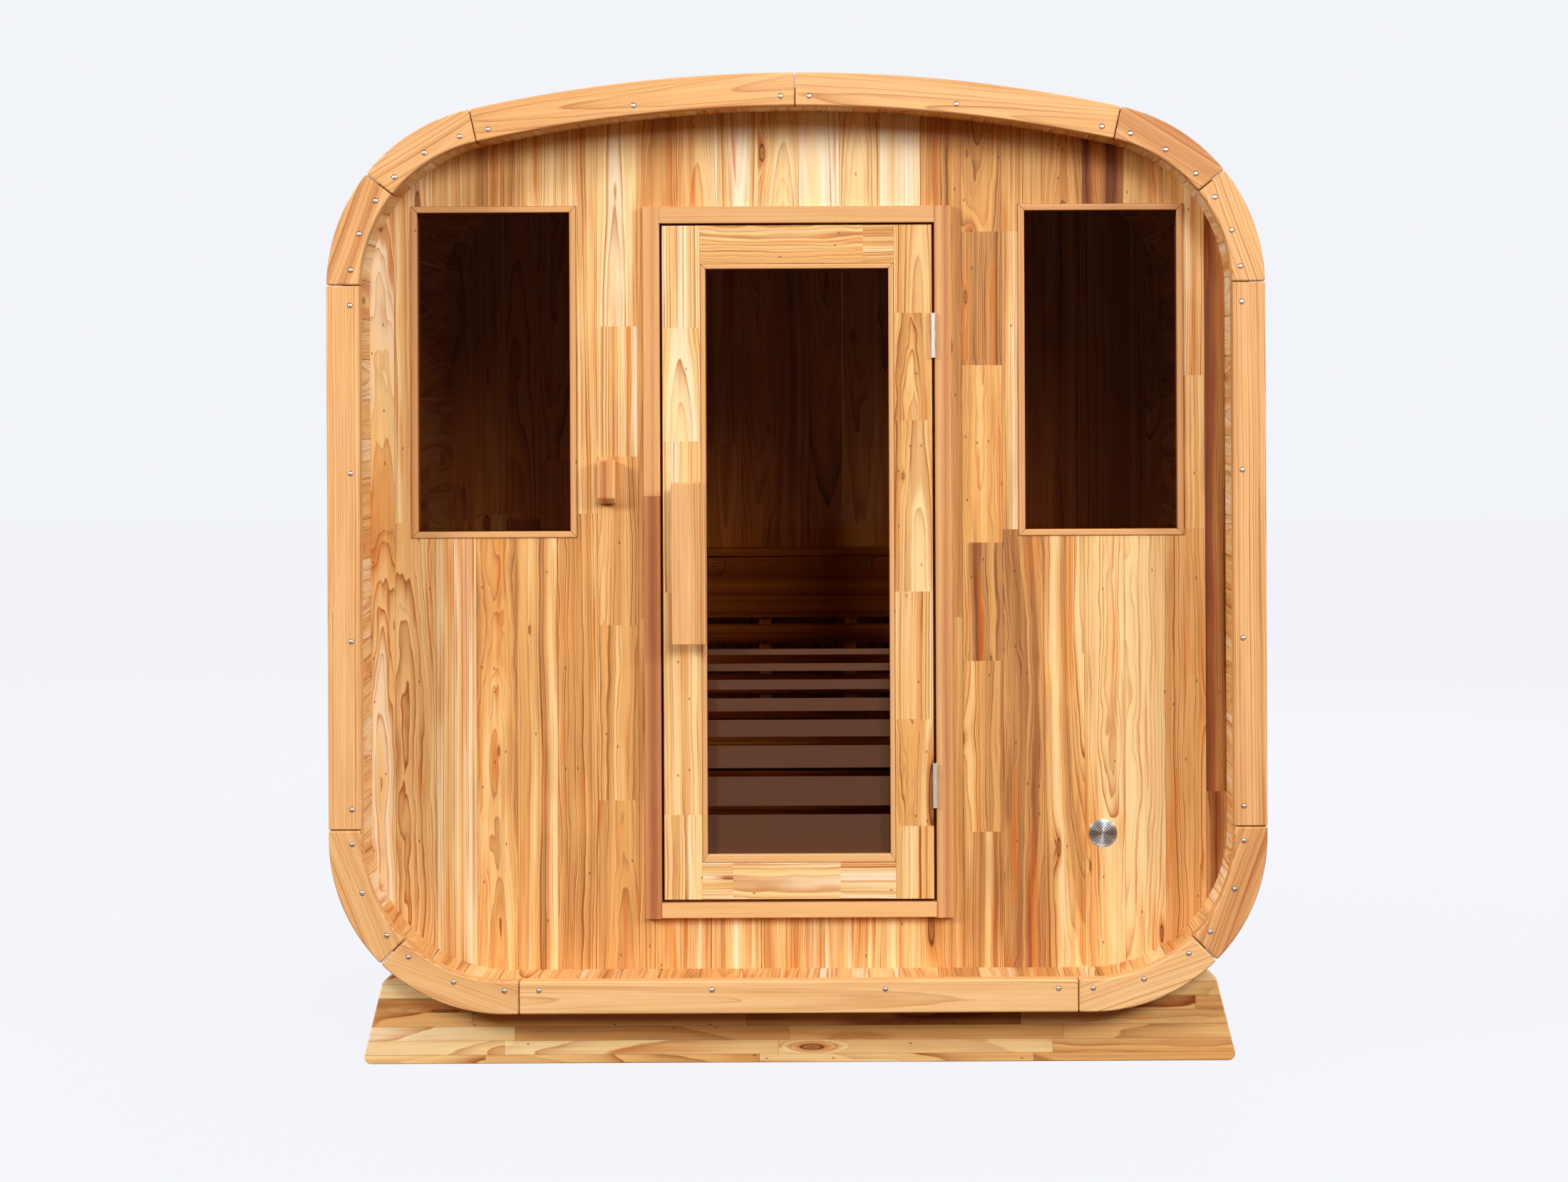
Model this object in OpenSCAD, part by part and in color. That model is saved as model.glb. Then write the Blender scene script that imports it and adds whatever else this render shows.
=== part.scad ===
// Cabin sauna: a rounded cabin of lengthwise staves with framed ends,
// two end walls, a glazed door, two windows and a bench.
// Millimetres, +Z up, front towards -Y, origin on the ground under the middle.

/* [Cabin body] */
// Overall width across the rims
body_w = 2100; // [1900:10:2700]
// Overall height of the rims, from their underside to the crown
body_h = 2104; // [2080:1:2700]
// Overall length from front rim to back rim
body_l = 1800; // [1500:10:3000]
// Height of the rims' underside above the ground
base_gap = 126; // [110:1:160]
// Radius of the crown's outline
crown_r = 3390; // [2900:10:4000]
// Outer radius of the two upper corners
upper_r = 409; // [360:1:480]
// Gap left between the roof's staves and the corners' staves
roof_seam = 0.4; // [0.2:0.1:2]
// Outer radius of the two lower corners
lower_r = 393; // [360:1:410]
// Thickness of the staves
stave_t = 44; // [36:1:50]

/* [Rims] */
// How far the rims stand out past the staves
rim_lip = 30; // [15:1:40]
// Thickness of the rim boards along the cabin
rim_t = 40; // [25:1:50]
// Gap at each joint between rim boards
rim_joint = 2; // [1:0.5:4]
// Height of the side boards' lower joints above the ground
side_joint_low = 540; // [538:1:560]
// Height of the side boards' upper joints above the ground
side_joint_high = 1758; // [1750:1:1775]
// Distance of the bottom board's joints from the middle
bottom_joint = 626; // [600:1:635]

/* [End walls] */
// Depth of the porch between rim face and wall face
porch_d = 150; // [120:5:300]
// Thickness of the end walls
wall_t = 44; // [36:1:50]

/* [Door frame] */
// Clear width between the jambs
opening_w = 626; // [560:2:740]
// Clear height between sill and head
opening_h = 1548; // [1480:1:1620]
// Height of the sill's top above the floor
sill_rise = 153; // [120:1:200]
// Width of each jamb, seen from the front
jamb_w = 38; // [30:1:50]
// Height of the head
head_h = 38; // [30:1:50]
// Height of the sill
sill_h = 34; // [30:1:60]
// How far the jambs run down past the sill
jamb_drop = 2; // [1:1:10]
// How far the jambs stand out from the wall
frame_proud = 18; // [12:1:25]
// How far the sill stands out past the jambs
sill_proud = 4; // [2:1:12]
// Width of the stop that the leaf closes against
stop_w = 18; // [12:1:25]

/* [Door leaf] */
// Gap around the leaf
leaf_gap = 5.5; // [5:0.5:8]
// Extra gap under the leaf
leaf_lift = 2; // [0:0.5:4]
// Thickness of the leaf
leaf_t = 40; // [34:1:42]
// How far the leaf's face lies behind the jambs' face
leaf_setback = 2; // [1:1:5]
// Width of the stiles
stile_w = 87; // [80:1:120]
// Height of the top rail
top_rail_h = 87; // [70:1:120]
// Height of the bottom rail
bottom_rail_h = 83; // [70:1:120]
// Width of the door's glazing bead at the sides and top
door_bead_w = 12; // [9:1:20]
// Height of the door's glazing bead at the bottom
door_bead_low = 19.5; // [9:0.5:30]

/* [Handle] */
// Width of the handle plank
handle_w = 80; // [60:1:90]
// Height of the handle plank
handle_h = 368; // [250:1:450]
// Thickness of the handle plank
handle_t = 25; // [18:1:30]
// Finger gap behind the plank
handle_gap = 32; // [25:1:40]
// Height of the handle's middle above the floor
handle_rise = 928; // [800:1:1000]
// Side of the two square standoffs
standoff_w = 30; // [20:1:40]
// Distance between the standoffs' middles
standoff_span = 236; // [150:1:236]
// How far the plank reaches past the stile's inner edge
handle_reach = 14; // [0:1:20]

/* [Hinges] */
// Height of a hinge
hinge_h = 102; // [80:1:130]
// Outer diameter of the knuckles
knuckle_d = 9; // [8:0.5:12]
// Diameter of the pins
pin_d = 5; // [4:0.5:6]
// Radial clearance between pin and bore
pin_play = 0.05; // [0.03:0.01:0.1]
// Gap between neighbouring knuckles
knuckle_gap = 0.4; // [0.2:0.1:1]
// Thickness of the hinge leaves
plate_t = 2; // [1.5:0.5:2]
// Depth of the hinge leaves along the wood
plate_d = 30; // [20:1:32]
// Distance from the leaf's ends to the middle of each hinge
hinge_inset = 255; // [150:1:400]
// How far both hinges sit above even spacing
hinge_lift = 3; // [0:1:10]

/* [Windows] */
// Width of a window, over its beads
window_w = 378; // [300:1:450]
// Height of a window, over its beads
window_h = 758; // [600:1:800]
// Height of a window's lower edge above the floor
window_rise = 985; // [800:1:1000]
// Width of the window beads
window_bead_w = 15; // [10:1:25]
// How far the beads stand out from the wall
bead_proud = 4; // [1:1:8]
// Thickness of all of the glass
glass_t = 8; // [4:1:10]
// Depth of the groove that holds the glass
glass_groove = 6; // [4:1:7]

/* [Small fittings] */
// Outer diameter of the vent
vent_d = 65; // [50:1:80]
// Height of the vent's middle above the floor
vent_rise = 306; // [300:1:400]
// Width of the robe peg
peg_w = 41; // [25:1:60]
// Height of the robe peg
peg_h = 98; // [70:1:130]
// How far the robe peg stands out from the wall
peg_d = 34; // [20:1:50]
// Distance from the door frame to the robe peg's middle
peg_offset = 84; // [50:1:110]
// Height of the robe peg's lower end above the floor
peg_rise = 1063; // [900:1:1200]

/* [Cradles] */
// Length of a cradle along the ground
cradle_w = 1970; // [1700:10:1980]
// Thickness of a cradle plank
cradle_t = 45; // [35:1:60]
// Distance from a rim's face to the cradle's face
cradle_setback = 80; // [60:5:140]

/* [Bench] */
// Height of the bench above the floor
bench_rise = 402; // [395:1:480]
// Depth of the bench, from the back wall
bench_depth = 565; // [480:5:640]
// Thickness of the bench slats
bench_t = 27; // [22:1:32]
// Height of the bench's boards, seen from the front
board_h = 51; // [45:1:56]
// Distance between the boards' lower edges
board_pitch = 68.4; // [62:0.1:75]
// Width of the bench posts
post_w = 33; // [28:1:45]
// Height of the backrest's top above the floor
backrest_rise = 893; // [850:1:950]
// Thickness of the backrest slats
backrest_t = 20; // [16:1:25]

/* [Hidden] */
$fn = 96;

room_inset = rim_lip + stave_t;
floor_z = base_gap + room_inset;
room_half = body_w / 2 - room_inset;
body_half_l = body_l / 2;
stave_half_l = body_half_l - rim_t;
wall_out_y = body_half_l - porch_d;
wall_in_y = wall_out_y - wall_t;

// Centres of the outline's arcs, in X and Z
crown_z = base_gap + body_h - crown_r;
upper_x = body_w / 2 - upper_r;
upper_z = crown_z + sqrt(pow(crown_r - upper_r, 2) - pow(upper_x, 2));
lower_x = body_w / 2 - lower_r;
lower_z = base_gap + lower_r;
// Half of the angle that the crown spans
crown_a = atan2(upper_x, upper_z - crown_z);

// Door frame
opening_half = opening_w / 2;
frame_half = opening_half + jamb_w;
sill_z = floor_z + sill_rise;
head_z = sill_z + opening_h;
frame_top = head_z + head_h;
sill_bottom = sill_z - sill_h;
frame_y = -wall_out_y - frame_proud;

// Door leaf
leaf_half = opening_half - leaf_gap;
leaf_z0 = sill_z + leaf_gap + leaf_lift;
leaf_z1 = head_z - leaf_gap;
leaf_y = frame_y + leaf_setback;
leaf_back_y = leaf_y + leaf_t;
stop_y = leaf_back_y + leaf_gap;
pane_half = leaf_half - stile_w;
pane_z0 = leaf_z0 + bottom_rail_h;
pane_z1 = leaf_z1 - top_rail_h;

// Hinge axis, midway in the gap and clear of the frame's face
axis_x = opening_half - leaf_gap / 2;
knuckle_clear = 0.5;
axis_y = frame_y - knuckle_d / 2 - knuckle_clear;
knuckles = 5;
hinge_z = [leaf_z0 + hinge_inset + hinge_lift, leaf_z1 - hinge_inset + hinge_lift];

// Windows: the spare wall beside a window is shared 62 : 38,
// with the wider part beside the door
window_share = 0.62;
window_x = frame_half + window_share * (room_half - frame_half - window_w) + window_w / 2;
window_z0 = floor_z + window_rise;
glass_y = -wall_out_y + 14;

// Vent, peg
vent_x = window_x;
vent_hole_d = vent_d - 9;
vent_z = floor_z + vent_rise;
vent_t = 2.5;
vent_collar = 20;
vent_wall = 1.5;
peg_x = -(frame_half + peg_offset);
peg_z = floor_z + peg_rise;
peg_bevel = 13;

// Cradles
cradle_edge_r = 16;
cradle_slope_z = 182;
cradle_slope_in = 41;
cradle_tip_z = 262;
cradle_tip_in = 121;

// Bench and backrest
bench_z = floor_z + bench_rise;
bench_y = wall_in_y - bench_depth;
bearer_h = 45;
post_d = 45;
board_gap = board_pitch - board_h;
slat_w = 88;
slat_count = floor((bench_depth - bench_t) / 92);
slat_span = bench_depth - bench_t;
slat_gap = (slat_span - slat_count * slat_w) / slat_count;
skirt_drop = 7.5;
skirt_top = bench_z - board_h - skirt_drop;
skirt_count = floor((skirt_top - floor_z) / board_pitch);
skirt_clear = 4;
// The inner posts stand under the middle, the outer ones near the floor's edges
post_xs = [116, lower_x - 85];
edge_bearer_x = room_half - 40;
backrest_z = floor_z + backrest_rise;
cap_t = 20;
cap_d = 96;
rail_h = 52;
// Round ends of the two outer rails, to the left and right of the middle
rail_ends = [-225, 174];
rail_clear = 1.5;
rail_tip = 14;
back_board_h = 117;
back_slat_top = backrest_z - cap_t - rail_h - back_board_h - board_gap;
back_slat_clear = 8;
back_slat_count = floor((back_slat_top - bench_z - back_slat_clear + board_gap) / board_pitch);
batten_w = 34;
batten_d = 60;
batten_y = wall_in_y - batten_d;
backrest_y = batten_y - backrest_t;

// ---- Shared shapes ----

// A flat shape in X and Z, given its depth from y0 to y1
module slab(y0, y1) {
    translate([0, y1, 0]) rotate([90, 0, 0]) linear_extrude(y1 - y0) children();
}

// A box from one corner to the other
module block(a, b) {
    translate(a) cube(b - a);
}

// Part of a ring about an axis along Y: angles run from +X towards +Z
module bend(centre, r0, r1, a0, a1, y0, y1) {
    translate([centre[0], y1, centre[1]]) rotate([90, 0, 0])
        rotate_extrude(angle = a1 - a0, start = a0, $fn = r1 > 1000 ? 720 : 96)
            translate([r0, 0]) square([r1 - r0, y1 - y0]);
}

// The cabin's outline, drawn in by d from the rims' outer edge
module outline(d) {
    side = body_w / 2 - d;
    top_r = crown_r - d;
    top_x = top_r * sin(crown_a);
    top_z = crown_z + top_r * cos(crown_a);
    polygon([
        [-lower_x, base_gap + d], [lower_x, base_gap + d],
        [side, lower_z], [side, upper_z],
        [top_x, top_z], [-top_x, top_z],
        [-side, upper_z], [-side, lower_z]
    ]);
    for (s = [-1, 1]) {
        translate([s * lower_x, lower_z]) circle(r = lower_r - d);
        translate([s * upper_x, upper_z]) circle(r = upper_r - d);
    }
    // The crown is the cap of a wide circle, above the arcs' upper ends
    intersection() {
        translate([0, crown_z]) circle(r = top_r, $fn = 720);
        translate([-top_x, top_z]) square([2 * top_x, crown_r]);
    }
}

// The room's outline between two x positions and above one height
module room_outline(x0, x1, z0 = -1, z1 = 9999) {
    intersection() {
        outline(room_inset);
        translate([x0, z0]) square([x1 - x0, z1 - z0]);
    }
}

// One corner of staves or rim: up is 1 for the upper corners, -1 for the lower
module corner_bend(s, up, d0, d1, a0, a1, y0, y1) {
    centre = up > 0 ? [s * upper_x, upper_z] : [s * lower_x, lower_z];
    r = up > 0 ? upper_r : lower_r;
    // Angles are measured from the side towards the crown or the floor
    from = s > 0 ? (up > 0 ? a0 : -a1) : (up > 0 ? 180 - a1 : 180 + a0);
    bend(centre, r - d1, r - d0, from, from + a1 - a0, y0, y1);
}

// ---- Staves ----

module stave_flat() {
    block([-lower_x, -stave_half_l, base_gap + rim_lip], [lower_x, stave_half_l, floor_z]);
}

module floor_staves() {
    color("burlywood") stave_flat();
}

module side_staves(s) {
    x = s * (room_half + stave_t / 2);
    color("burlywood")
        block([x - stave_t / 2, -stave_half_l, lower_z], [x + stave_t / 2, stave_half_l, upper_z]);
}

module roof_staves() {
    half_a = crown_a - asin(roof_seam / (crown_r - room_inset));
    color("burlywood")
        bend([0, crown_z], crown_r - room_inset, crown_r - rim_lip,
            90 - half_a, 90 + half_a, -stave_half_l, stave_half_l);
}

module corner_staves(s, up) {
    span = up > 0 ? 90 - crown_a : 90;
    color("burlywood")
        corner_bend(s, up, rim_lip, room_inset, 0, span, -stave_half_l, stave_half_l);
}

// ---- Rims: end is -1 at the front and 1 at the back ----

function rim_y0(end) = end < 0 ? -body_half_l : stave_half_l;
function rim_y1(end) = rim_y0(end) + rim_t;
// Angle that half a joint takes at radius r
function joint_a(r) = asin(rim_joint / 2 / r);

module rim_top(end) {
    gap = joint_a(crown_r - room_inset / 2);
    color("sandybrown")
        for (from = [90 - crown_a, 90])
            bend([0, crown_z], crown_r - room_inset, crown_r,
                from + gap, from + crown_a - gap, rim_y0(end), rim_y1(end));
}

// The part of a rim that lies inside a shape
module rim_part(end) {
    slab(rim_y0(end), rim_y1(end))
        intersection() {
            difference() {
                outline(0);
                outline(room_inset);
            }
            children();
        }
}

module rim_sides(end) {
    half_joint = rim_joint / 2;
    color("sandybrown")
        for (s = [-1, 1])
            rim_part(end)
                scale([s, 1])
                    translate([lower_x, side_joint_low + half_joint])
                        square([body_w, side_joint_high - side_joint_low - rim_joint]);
}

module rim_bottom(end) {
    color("sandybrown")
        block([-bottom_joint + rim_joint / 2, rim_y0(end), base_gap],
            [bottom_joint - rim_joint / 2, rim_y1(end), floor_z]);
}

// Two boards at each corner, with a joint midway. The lower corners' boards run on straight
// past the arc at both ends, and the upper corner's first board starts a little way up it.
module rim_corners(end, s) {
    half_joint = rim_joint / 2;
    reach = 2 * lower_r;
    color("sandybrown") {
        // Lower corner: one board down from the side's joint, one in to the bottom's joint
        diagonal = half_joint * sqrt(2);
        rim_part(end)
            scale([s, 1])
                polygon([
                    [lower_x + diagonal, lower_z], [lower_x + diagonal + reach, lower_z - reach],
                    [lower_x + diagonal + reach, side_joint_low - half_joint],
                    [lower_x + diagonal, side_joint_low - half_joint]
                ]);
        rim_part(end)
            scale([s, 1])
                polygon([
                    [lower_x, lower_z - diagonal], [bottom_joint + half_joint, lower_z - diagonal],
                    [bottom_joint + half_joint, lower_z - diagonal - reach],
                    [lower_x + reach, lower_z - diagonal - reach]
                ]);
        // Upper corner: one board up from the side's joint, one on to the crown
        mid = (90 - crown_a) / 2;
        gap = joint_a(upper_r - room_inset / 2);
        from_x = upper_x + half_joint * sin(mid);
        from_z = upper_z - half_joint * cos(mid);
        start = (side_joint_high + half_joint - from_z) / sin(mid);
        rim_part(end)
            scale([s, 1])
                polygon([
                    [from_x + start * cos(mid), side_joint_high + half_joint],
                    [from_x + reach * cos(mid), from_z + reach * sin(mid)],
                    [upper_x + reach, from_z + reach * sin(mid)],
                    [upper_x + reach, side_joint_high + half_joint]
                ]);
        corner_bend(s, 1, 0, room_inset, mid + gap, 2 * mid - gap, rim_y0(end), rim_y1(end));
    }
}

// ---- End walls ----

module front_wall_side(s) {
    color("wheat")
        slab(-wall_out_y, -wall_in_y)
            difference() {
                if (s < 0) room_outline(-body_w, -frame_half);
                else room_outline(frame_half, body_w);
                translate([s * window_x - window_w / 2, window_z0]) square([window_w, window_h]);
                if (s > 0) translate([vent_x, vent_z]) circle(d = vent_hole_d);
            }
}

module front_wall_over_door() {
    color("wheat")
        slab(-wall_out_y, -wall_in_y) room_outline(-frame_half, frame_half, frame_top);
}

module front_wall_under_door() {
    color("wheat")
        difference() {
            slab(-wall_out_y, -wall_in_y)
                translate([-frame_half, floor_z])
                    square([2 * frame_half, sill_bottom - floor_z]);
            for (s = [-1, 1]) jamb_block(s);
        }
}

module back_wall() {
    color("wheat") slab(wall_in_y, wall_out_y) outline(room_inset);
}

// ---- Door frame ----

module jamb_block(s) {
    x = s * (opening_half + jamb_w / 2);
    block([x - jamb_w / 2, frame_y, sill_bottom - jamb_drop],
        [x + jamb_w / 2, -wall_in_y, frame_top]);
}

module door_jamb(s) {
    stop_x = s * (opening_half - stop_w / 2);
    color("peru")
        difference() {
            union() {
                jamb_block(s);
                block([stop_x - stop_w / 2, stop_y, sill_z], [stop_x + stop_w / 2, -wall_in_y, head_z]);
            }
            if (s > 0) for (z = hinge_z) frame_plate(z);
        }
}

module door_head() {
    color("peru") {
        block([-opening_half, frame_y, head_z], [opening_half, -wall_in_y, frame_top]);
        block([-opening_half + stop_w, stop_y, head_z - stop_w],
            [opening_half - stop_w, -wall_in_y, head_z]);
    }
}

module door_sill() {
    color("peru")
        block([-opening_half, frame_y - sill_proud, sill_bottom],
            [opening_half, -wall_in_y, sill_z]);
}

// ---- Glazing ----

// A bead frame from y0 to y1 whose groove holds the glass at pane_y.
// w is the bead's width, and low its height at the bottom.
module bead_frame(x0, x1, z0, z1, w, low, y0, y1, pane_y) {
    difference() {
        slab(y0, y1)
            difference() {
                translate([x0, z0]) square([x1 - x0, z1 - z0]);
                translate([x0 + w, z0 + low]) square([x1 - x0 - 2 * w, z1 - z0 - low - w]);
            }
        pane(x0, x1, z0, z1, w, low, pane_y);
    }
}

// The glass that such a frame holds
module pane(x0, x1, z0, z1, w, low, pane_y) {
    in = w - glass_groove;
    block([x0 + in, pane_y, z0 + low - glass_groove], [x1 - in, pane_y + glass_t, z1 - in]);
}

module window_frame(s) {
    x0 = s * window_x - window_w / 2;
    color("burlywood")
        bead_frame(x0, x0 + window_w, window_z0, window_z0 + window_h, window_bead_w, window_bead_w,
            -wall_out_y - bead_proud, -wall_in_y, glass_y);
}

module window_glass(s) {
    x0 = s * window_x - window_w / 2;
    color([0.16, 0.09, 0.05, 0.85])
        pane(x0, x0 + window_w, window_z0, window_z0 + window_h, window_bead_w, window_bead_w,
            glass_y);
}

// ---- Vent and peg ----

module vent_grille() {
    color("silver")
        translate([vent_x, -wall_out_y, vent_z]) rotate([90, 0, 0]) {
            cylinder(d = vent_d, h = vent_t);
            translate([0, 0, -vent_collar])
                difference() {
                    cylinder(d = vent_hole_d, h = vent_collar);
                    translate([0, 0, -1]) cylinder(d = vent_hole_d - 2 * vent_wall, h = vent_collar + 1);
                }
        }
}

// A block whose lower end slopes back to the wall
module robe_peg() {
    color("sandybrown")
        translate([peg_x - peg_w / 2, -wall_out_y, peg_z]) rotate([90, 0, 90])
            linear_extrude(peg_w)
                polygon([[0, 0], [0, peg_h], [-peg_d, peg_h], [-peg_d, peg_bevel], [-peg_d + peg_bevel, 0]]);
}

// ---- Cradles ----

module cradle(end) {
    half = cradle_w / 2;
    y = end * (body_half_l - cradle_setback - cradle_t / 2);
    color("tan")
        slab(y - cradle_t / 2, y + cradle_t / 2)
            difference() {
                union() {
                    translate([-half + cradle_edge_r, 0])
                        square([2 * half - 2 * cradle_edge_r, cradle_edge_r]);
                    for (s = [-1, 1])
                        translate([s * (half - cradle_edge_r), cradle_edge_r])
                            circle(r = cradle_edge_r);
                    polygon([
                        [-half, cradle_edge_r], [half, cradle_edge_r],
                        [half - cradle_slope_in, cradle_slope_z],
                        [half - cradle_tip_in, cradle_tip_z],
                        [-half + cradle_tip_in, cradle_tip_z],
                        [-half + cradle_slope_in, cradle_slope_z]
                    ]);
                }
                outline(rim_lip);
            }
}

// ---- Bench ----

module bench_top() {
    color("wheat")
        for (i = [0:slat_count - 1])
            translate([0, bench_y + bench_t + slat_gap / 2 + i * (slat_w + slat_gap), 0])
                block([-room_half, 0, bench_z - bench_t], [room_half, slat_w, bench_z]);
}

// The front edge board and the skirt boards under it
module bench_front() {
    color("tan") {
        slab(bench_y, bench_y + bench_t)
            room_outline(-room_half, room_half, bench_z - board_h, bench_z);
        slab(bench_y, bench_y + bench_t)
            intersection() {
                outline(room_inset + skirt_clear);
                for (i = [0:skirt_count - 1])
                    translate([-room_half, skirt_top - i * board_pitch - board_h])
                        square([2 * room_half, board_h]);
            }
    }
}

// Posts behind the skirt, from the floor to the bearers
module bench_posts() {
    y0 = bench_y + bench_t;
    color("tan")
        for (s = [-1, 1], x = post_xs)
            block([s * x - post_w / 2, y0, floor_z],
                [s * x + post_w / 2, y0 + post_d, bench_z - bench_t - bearer_h]);
}

// Bearers under the slats, from the front boards to the back wall
module bench_bearers() {
    z1 = bench_z - bench_t;
    color("tan")
        for (s = [-1, 1], x = concat(post_xs, edge_bearer_x))
            block([s * x - post_w / 2, bench_y + bench_t, z1 - bearer_h],
                [s * x + post_w / 2, wall_in_y, z1]);
}

// ---- Backrest ----

module backrest_slats() {
    color("wheat") {
        for (i = [0:back_slat_count - 1])
            translate([0, 0, back_slat_top - i * board_pitch])
                block([-room_half, backrest_y, -board_h], [room_half, batten_y, 0]);
        z1 = backrest_z - cap_t - rail_h;
        block([-room_half, backrest_y, z1 - back_board_h], [room_half, batten_y, z1]);
    }
}

// Two rails with round inner ends and a third between them, hollowed to fit, under one cap
module backrest_rails() {
    z0 = backrest_z - cap_t - rail_h;
    round_x = rail_ends + [-rail_h / 2, rail_h / 2];
    color("burlywood") {
        for (i = [0, 1])
            slab(backrest_y, batten_y) {
                x0 = i > 0 ? round_x[1] : -room_half;
                x1 = i > 0 ? room_half : round_x[0];
                translate([x0, z0]) square([x1 - x0, rail_h]);
                translate([round_x[i], z0 + rail_h / 2]) circle(d = rail_h);
            }
        slab(backrest_y, batten_y)
            difference() {
                translate([round_x[0] + rail_tip, z0])
                    square([round_x[1] - round_x[0] - 2 * rail_tip, rail_h]);
                for (x = round_x)
                    translate([x, z0 + rail_h / 2]) circle(d = rail_h + 2 * rail_clear);
            }
        block([-room_half, wall_in_y - cap_d, backrest_z - cap_t], [room_half, wall_in_y, backrest_z]);
    }
}

module backrest_battens() {
    z0 = back_slat_top - (back_slat_count - 1) * board_pitch - board_h;
    color("tan")
        for (s = [-1, 1], x = concat(post_xs, edge_bearer_x))
            translate([s * x, 0, 0])
                block([-batten_w / 2, batten_y, z0], [batten_w / 2, wall_in_y, backrest_z - cap_t]);
}

// ---- Hinges ----

function knuckle_z(z, i) = z - hinge_h / 2 + i * hinge_h / knuckles + knuckle_gap / 2;
knuckle_h = hinge_h / knuckles - knuckle_gap;

// The part of a hinge leaf that lies in the wood, at side x
module hinge_plate(x, z) {
    y0 = axis_y + knuckle_d / 2 + knuckle_clear;
    block([x - plate_t / 2, y0, z - hinge_h / 2], [x + plate_t / 2, y0 + plate_d, z + hinge_h / 2]);
}

module frame_plate(z) {
    hinge_plate(opening_half + plate_t / 2, z);
}

module door_plate(z) {
    hinge_plate(leaf_half - plate_t / 2, z);
}

// One knuckle and the web that joins it to its plate at side x
module knuckle(x, z, i) {
    y1 = axis_y + knuckle_d / 2 + knuckle_clear;
    translate([axis_x, axis_y, knuckle_z(z, i)]) cylinder(d = knuckle_d, h = knuckle_h);
    block([x - plate_t / 2, axis_y, knuckle_z(z, i)], [x + plate_t / 2, y1, knuckle_z(z, i) + knuckle_h]);
}

// The pin is fixed to the frame's three knuckles
module frame_hinge_leaves() {
    color("silver")
        for (z = hinge_z) {
            frame_plate(z);
            for (i = [0, 2, 4]) knuckle(opening_half + plate_t / 2, z, i);
            translate([axis_x, axis_y, knuckle_z(z, 0)])
                cylinder(d = pin_d, h = hinge_h - knuckle_gap);
        }
}

module door_hinge_leaves() {
    color("silver")
        difference() {
            for (z = hinge_z) {
                door_plate(z);
                for (i = [1, 3]) knuckle(leaf_half - plate_t / 2, z, i);
            }
            for (z = hinge_z)
                translate([axis_x, axis_y, z - hinge_h])
                    cylinder(d = pin_d + 2 * pin_play, h = 2 * hinge_h);
        }
}

// ---- Door leaf ----

module door_stile(s) {
    x = s * (leaf_half - stile_w / 2);
    color("navajowhite")
        difference() {
            block([x - stile_w / 2, leaf_y, leaf_z0], [x + stile_w / 2, leaf_back_y, leaf_z1]);
            if (s > 0) for (z = hinge_z) door_plate(z);
        }
}

module door_rails() {
    color("navajowhite") {
        block([-pane_half, leaf_y, leaf_z0], [pane_half, leaf_back_y, pane_z0]);
        block([-pane_half, leaf_y, pane_z1], [pane_half, leaf_back_y, leaf_z1]);
    }
}

module door_bead() {
    color("burlywood")
        bead_frame(-pane_half, pane_half, pane_z0, pane_z1, door_bead_w, door_bead_low,
            leaf_y, leaf_back_y, leaf_y + leaf_t / 2 - glass_t / 2);
}

module door_glass() {
    color([0.16, 0.09, 0.05, 0.85])
        pane(-pane_half, pane_half, pane_z0, pane_z1, door_bead_w, door_bead_low,
            leaf_y + leaf_t / 2 - glass_t / 2);
}

module door_handle() {
    x = -pane_half + handle_reach - handle_w / 2;
    z = floor_z + handle_rise;
    color("sandybrown") {
        block([x - handle_w / 2, leaf_y - handle_gap - handle_t, z - handle_h / 2],
            [x + handle_w / 2, leaf_y - handle_gap, z + handle_h / 2]);
        for (s = [-1, 1])
            translate([x, leaf_y, z + s * standoff_span / 2])
                block([-standoff_w / 2, -handle_gap, -standoff_w / 2], [standoff_w / 2, 0, standoff_w / 2]);
    }
}

floor_staves();
side_staves(-1);  // side_staves_left
side_staves(1);  // side_staves_right
roof_staves();
corner_staves(-1, 1);  // corner_staves_upper_left
corner_staves(1, 1);  // corner_staves_upper_right
corner_staves(-1, -1);  // corner_staves_lower_left
corner_staves(1, -1);  // corner_staves_lower_right
rim_top(-1);  // front_rim_top
rim_sides(-1);  // front_rim_sides
rim_bottom(-1);  // front_rim_bottom
rim_corners(-1, -1);  // front_rim_corners_left
rim_corners(-1, 1);  // front_rim_corners_right
rim_top(1);  // back_rim_top
rim_sides(1);  // back_rim_sides
rim_bottom(1);  // back_rim_bottom
rim_corners(1, -1);  // back_rim_corners_left
rim_corners(1, 1);  // back_rim_corners_right
front_wall_side(-1);  // front_wall_left
front_wall_side(1);  // front_wall_right
front_wall_over_door();
front_wall_under_door();
back_wall();
door_jamb(-1);  // door_jamb_left
door_jamb(1);  // door_jamb_right
door_head();
door_sill();
window_frame(-1);  // window_frame_left
window_frame(1);  // window_frame_right
window_glass(-1);  // window_glass_left
window_glass(1);  // window_glass_right
vent_grille();
robe_peg();
cradle(-1);  // front_cradle
cradle(1);  // back_cradle
bench_top();
bench_front();
bench_posts();
bench_bearers();
backrest_slats();
backrest_rails();
backrest_battens();
frame_hinge_leaves();
door_hinge_leaves();
door_stile(-1);  // door_stile_left
door_stile(1);  // door_stile_right
door_rails();
door_bead();
door_glass();
door_handle();
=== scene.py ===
"""The looks of a rounded timber cabin sauna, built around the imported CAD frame, in metres."""

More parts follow.
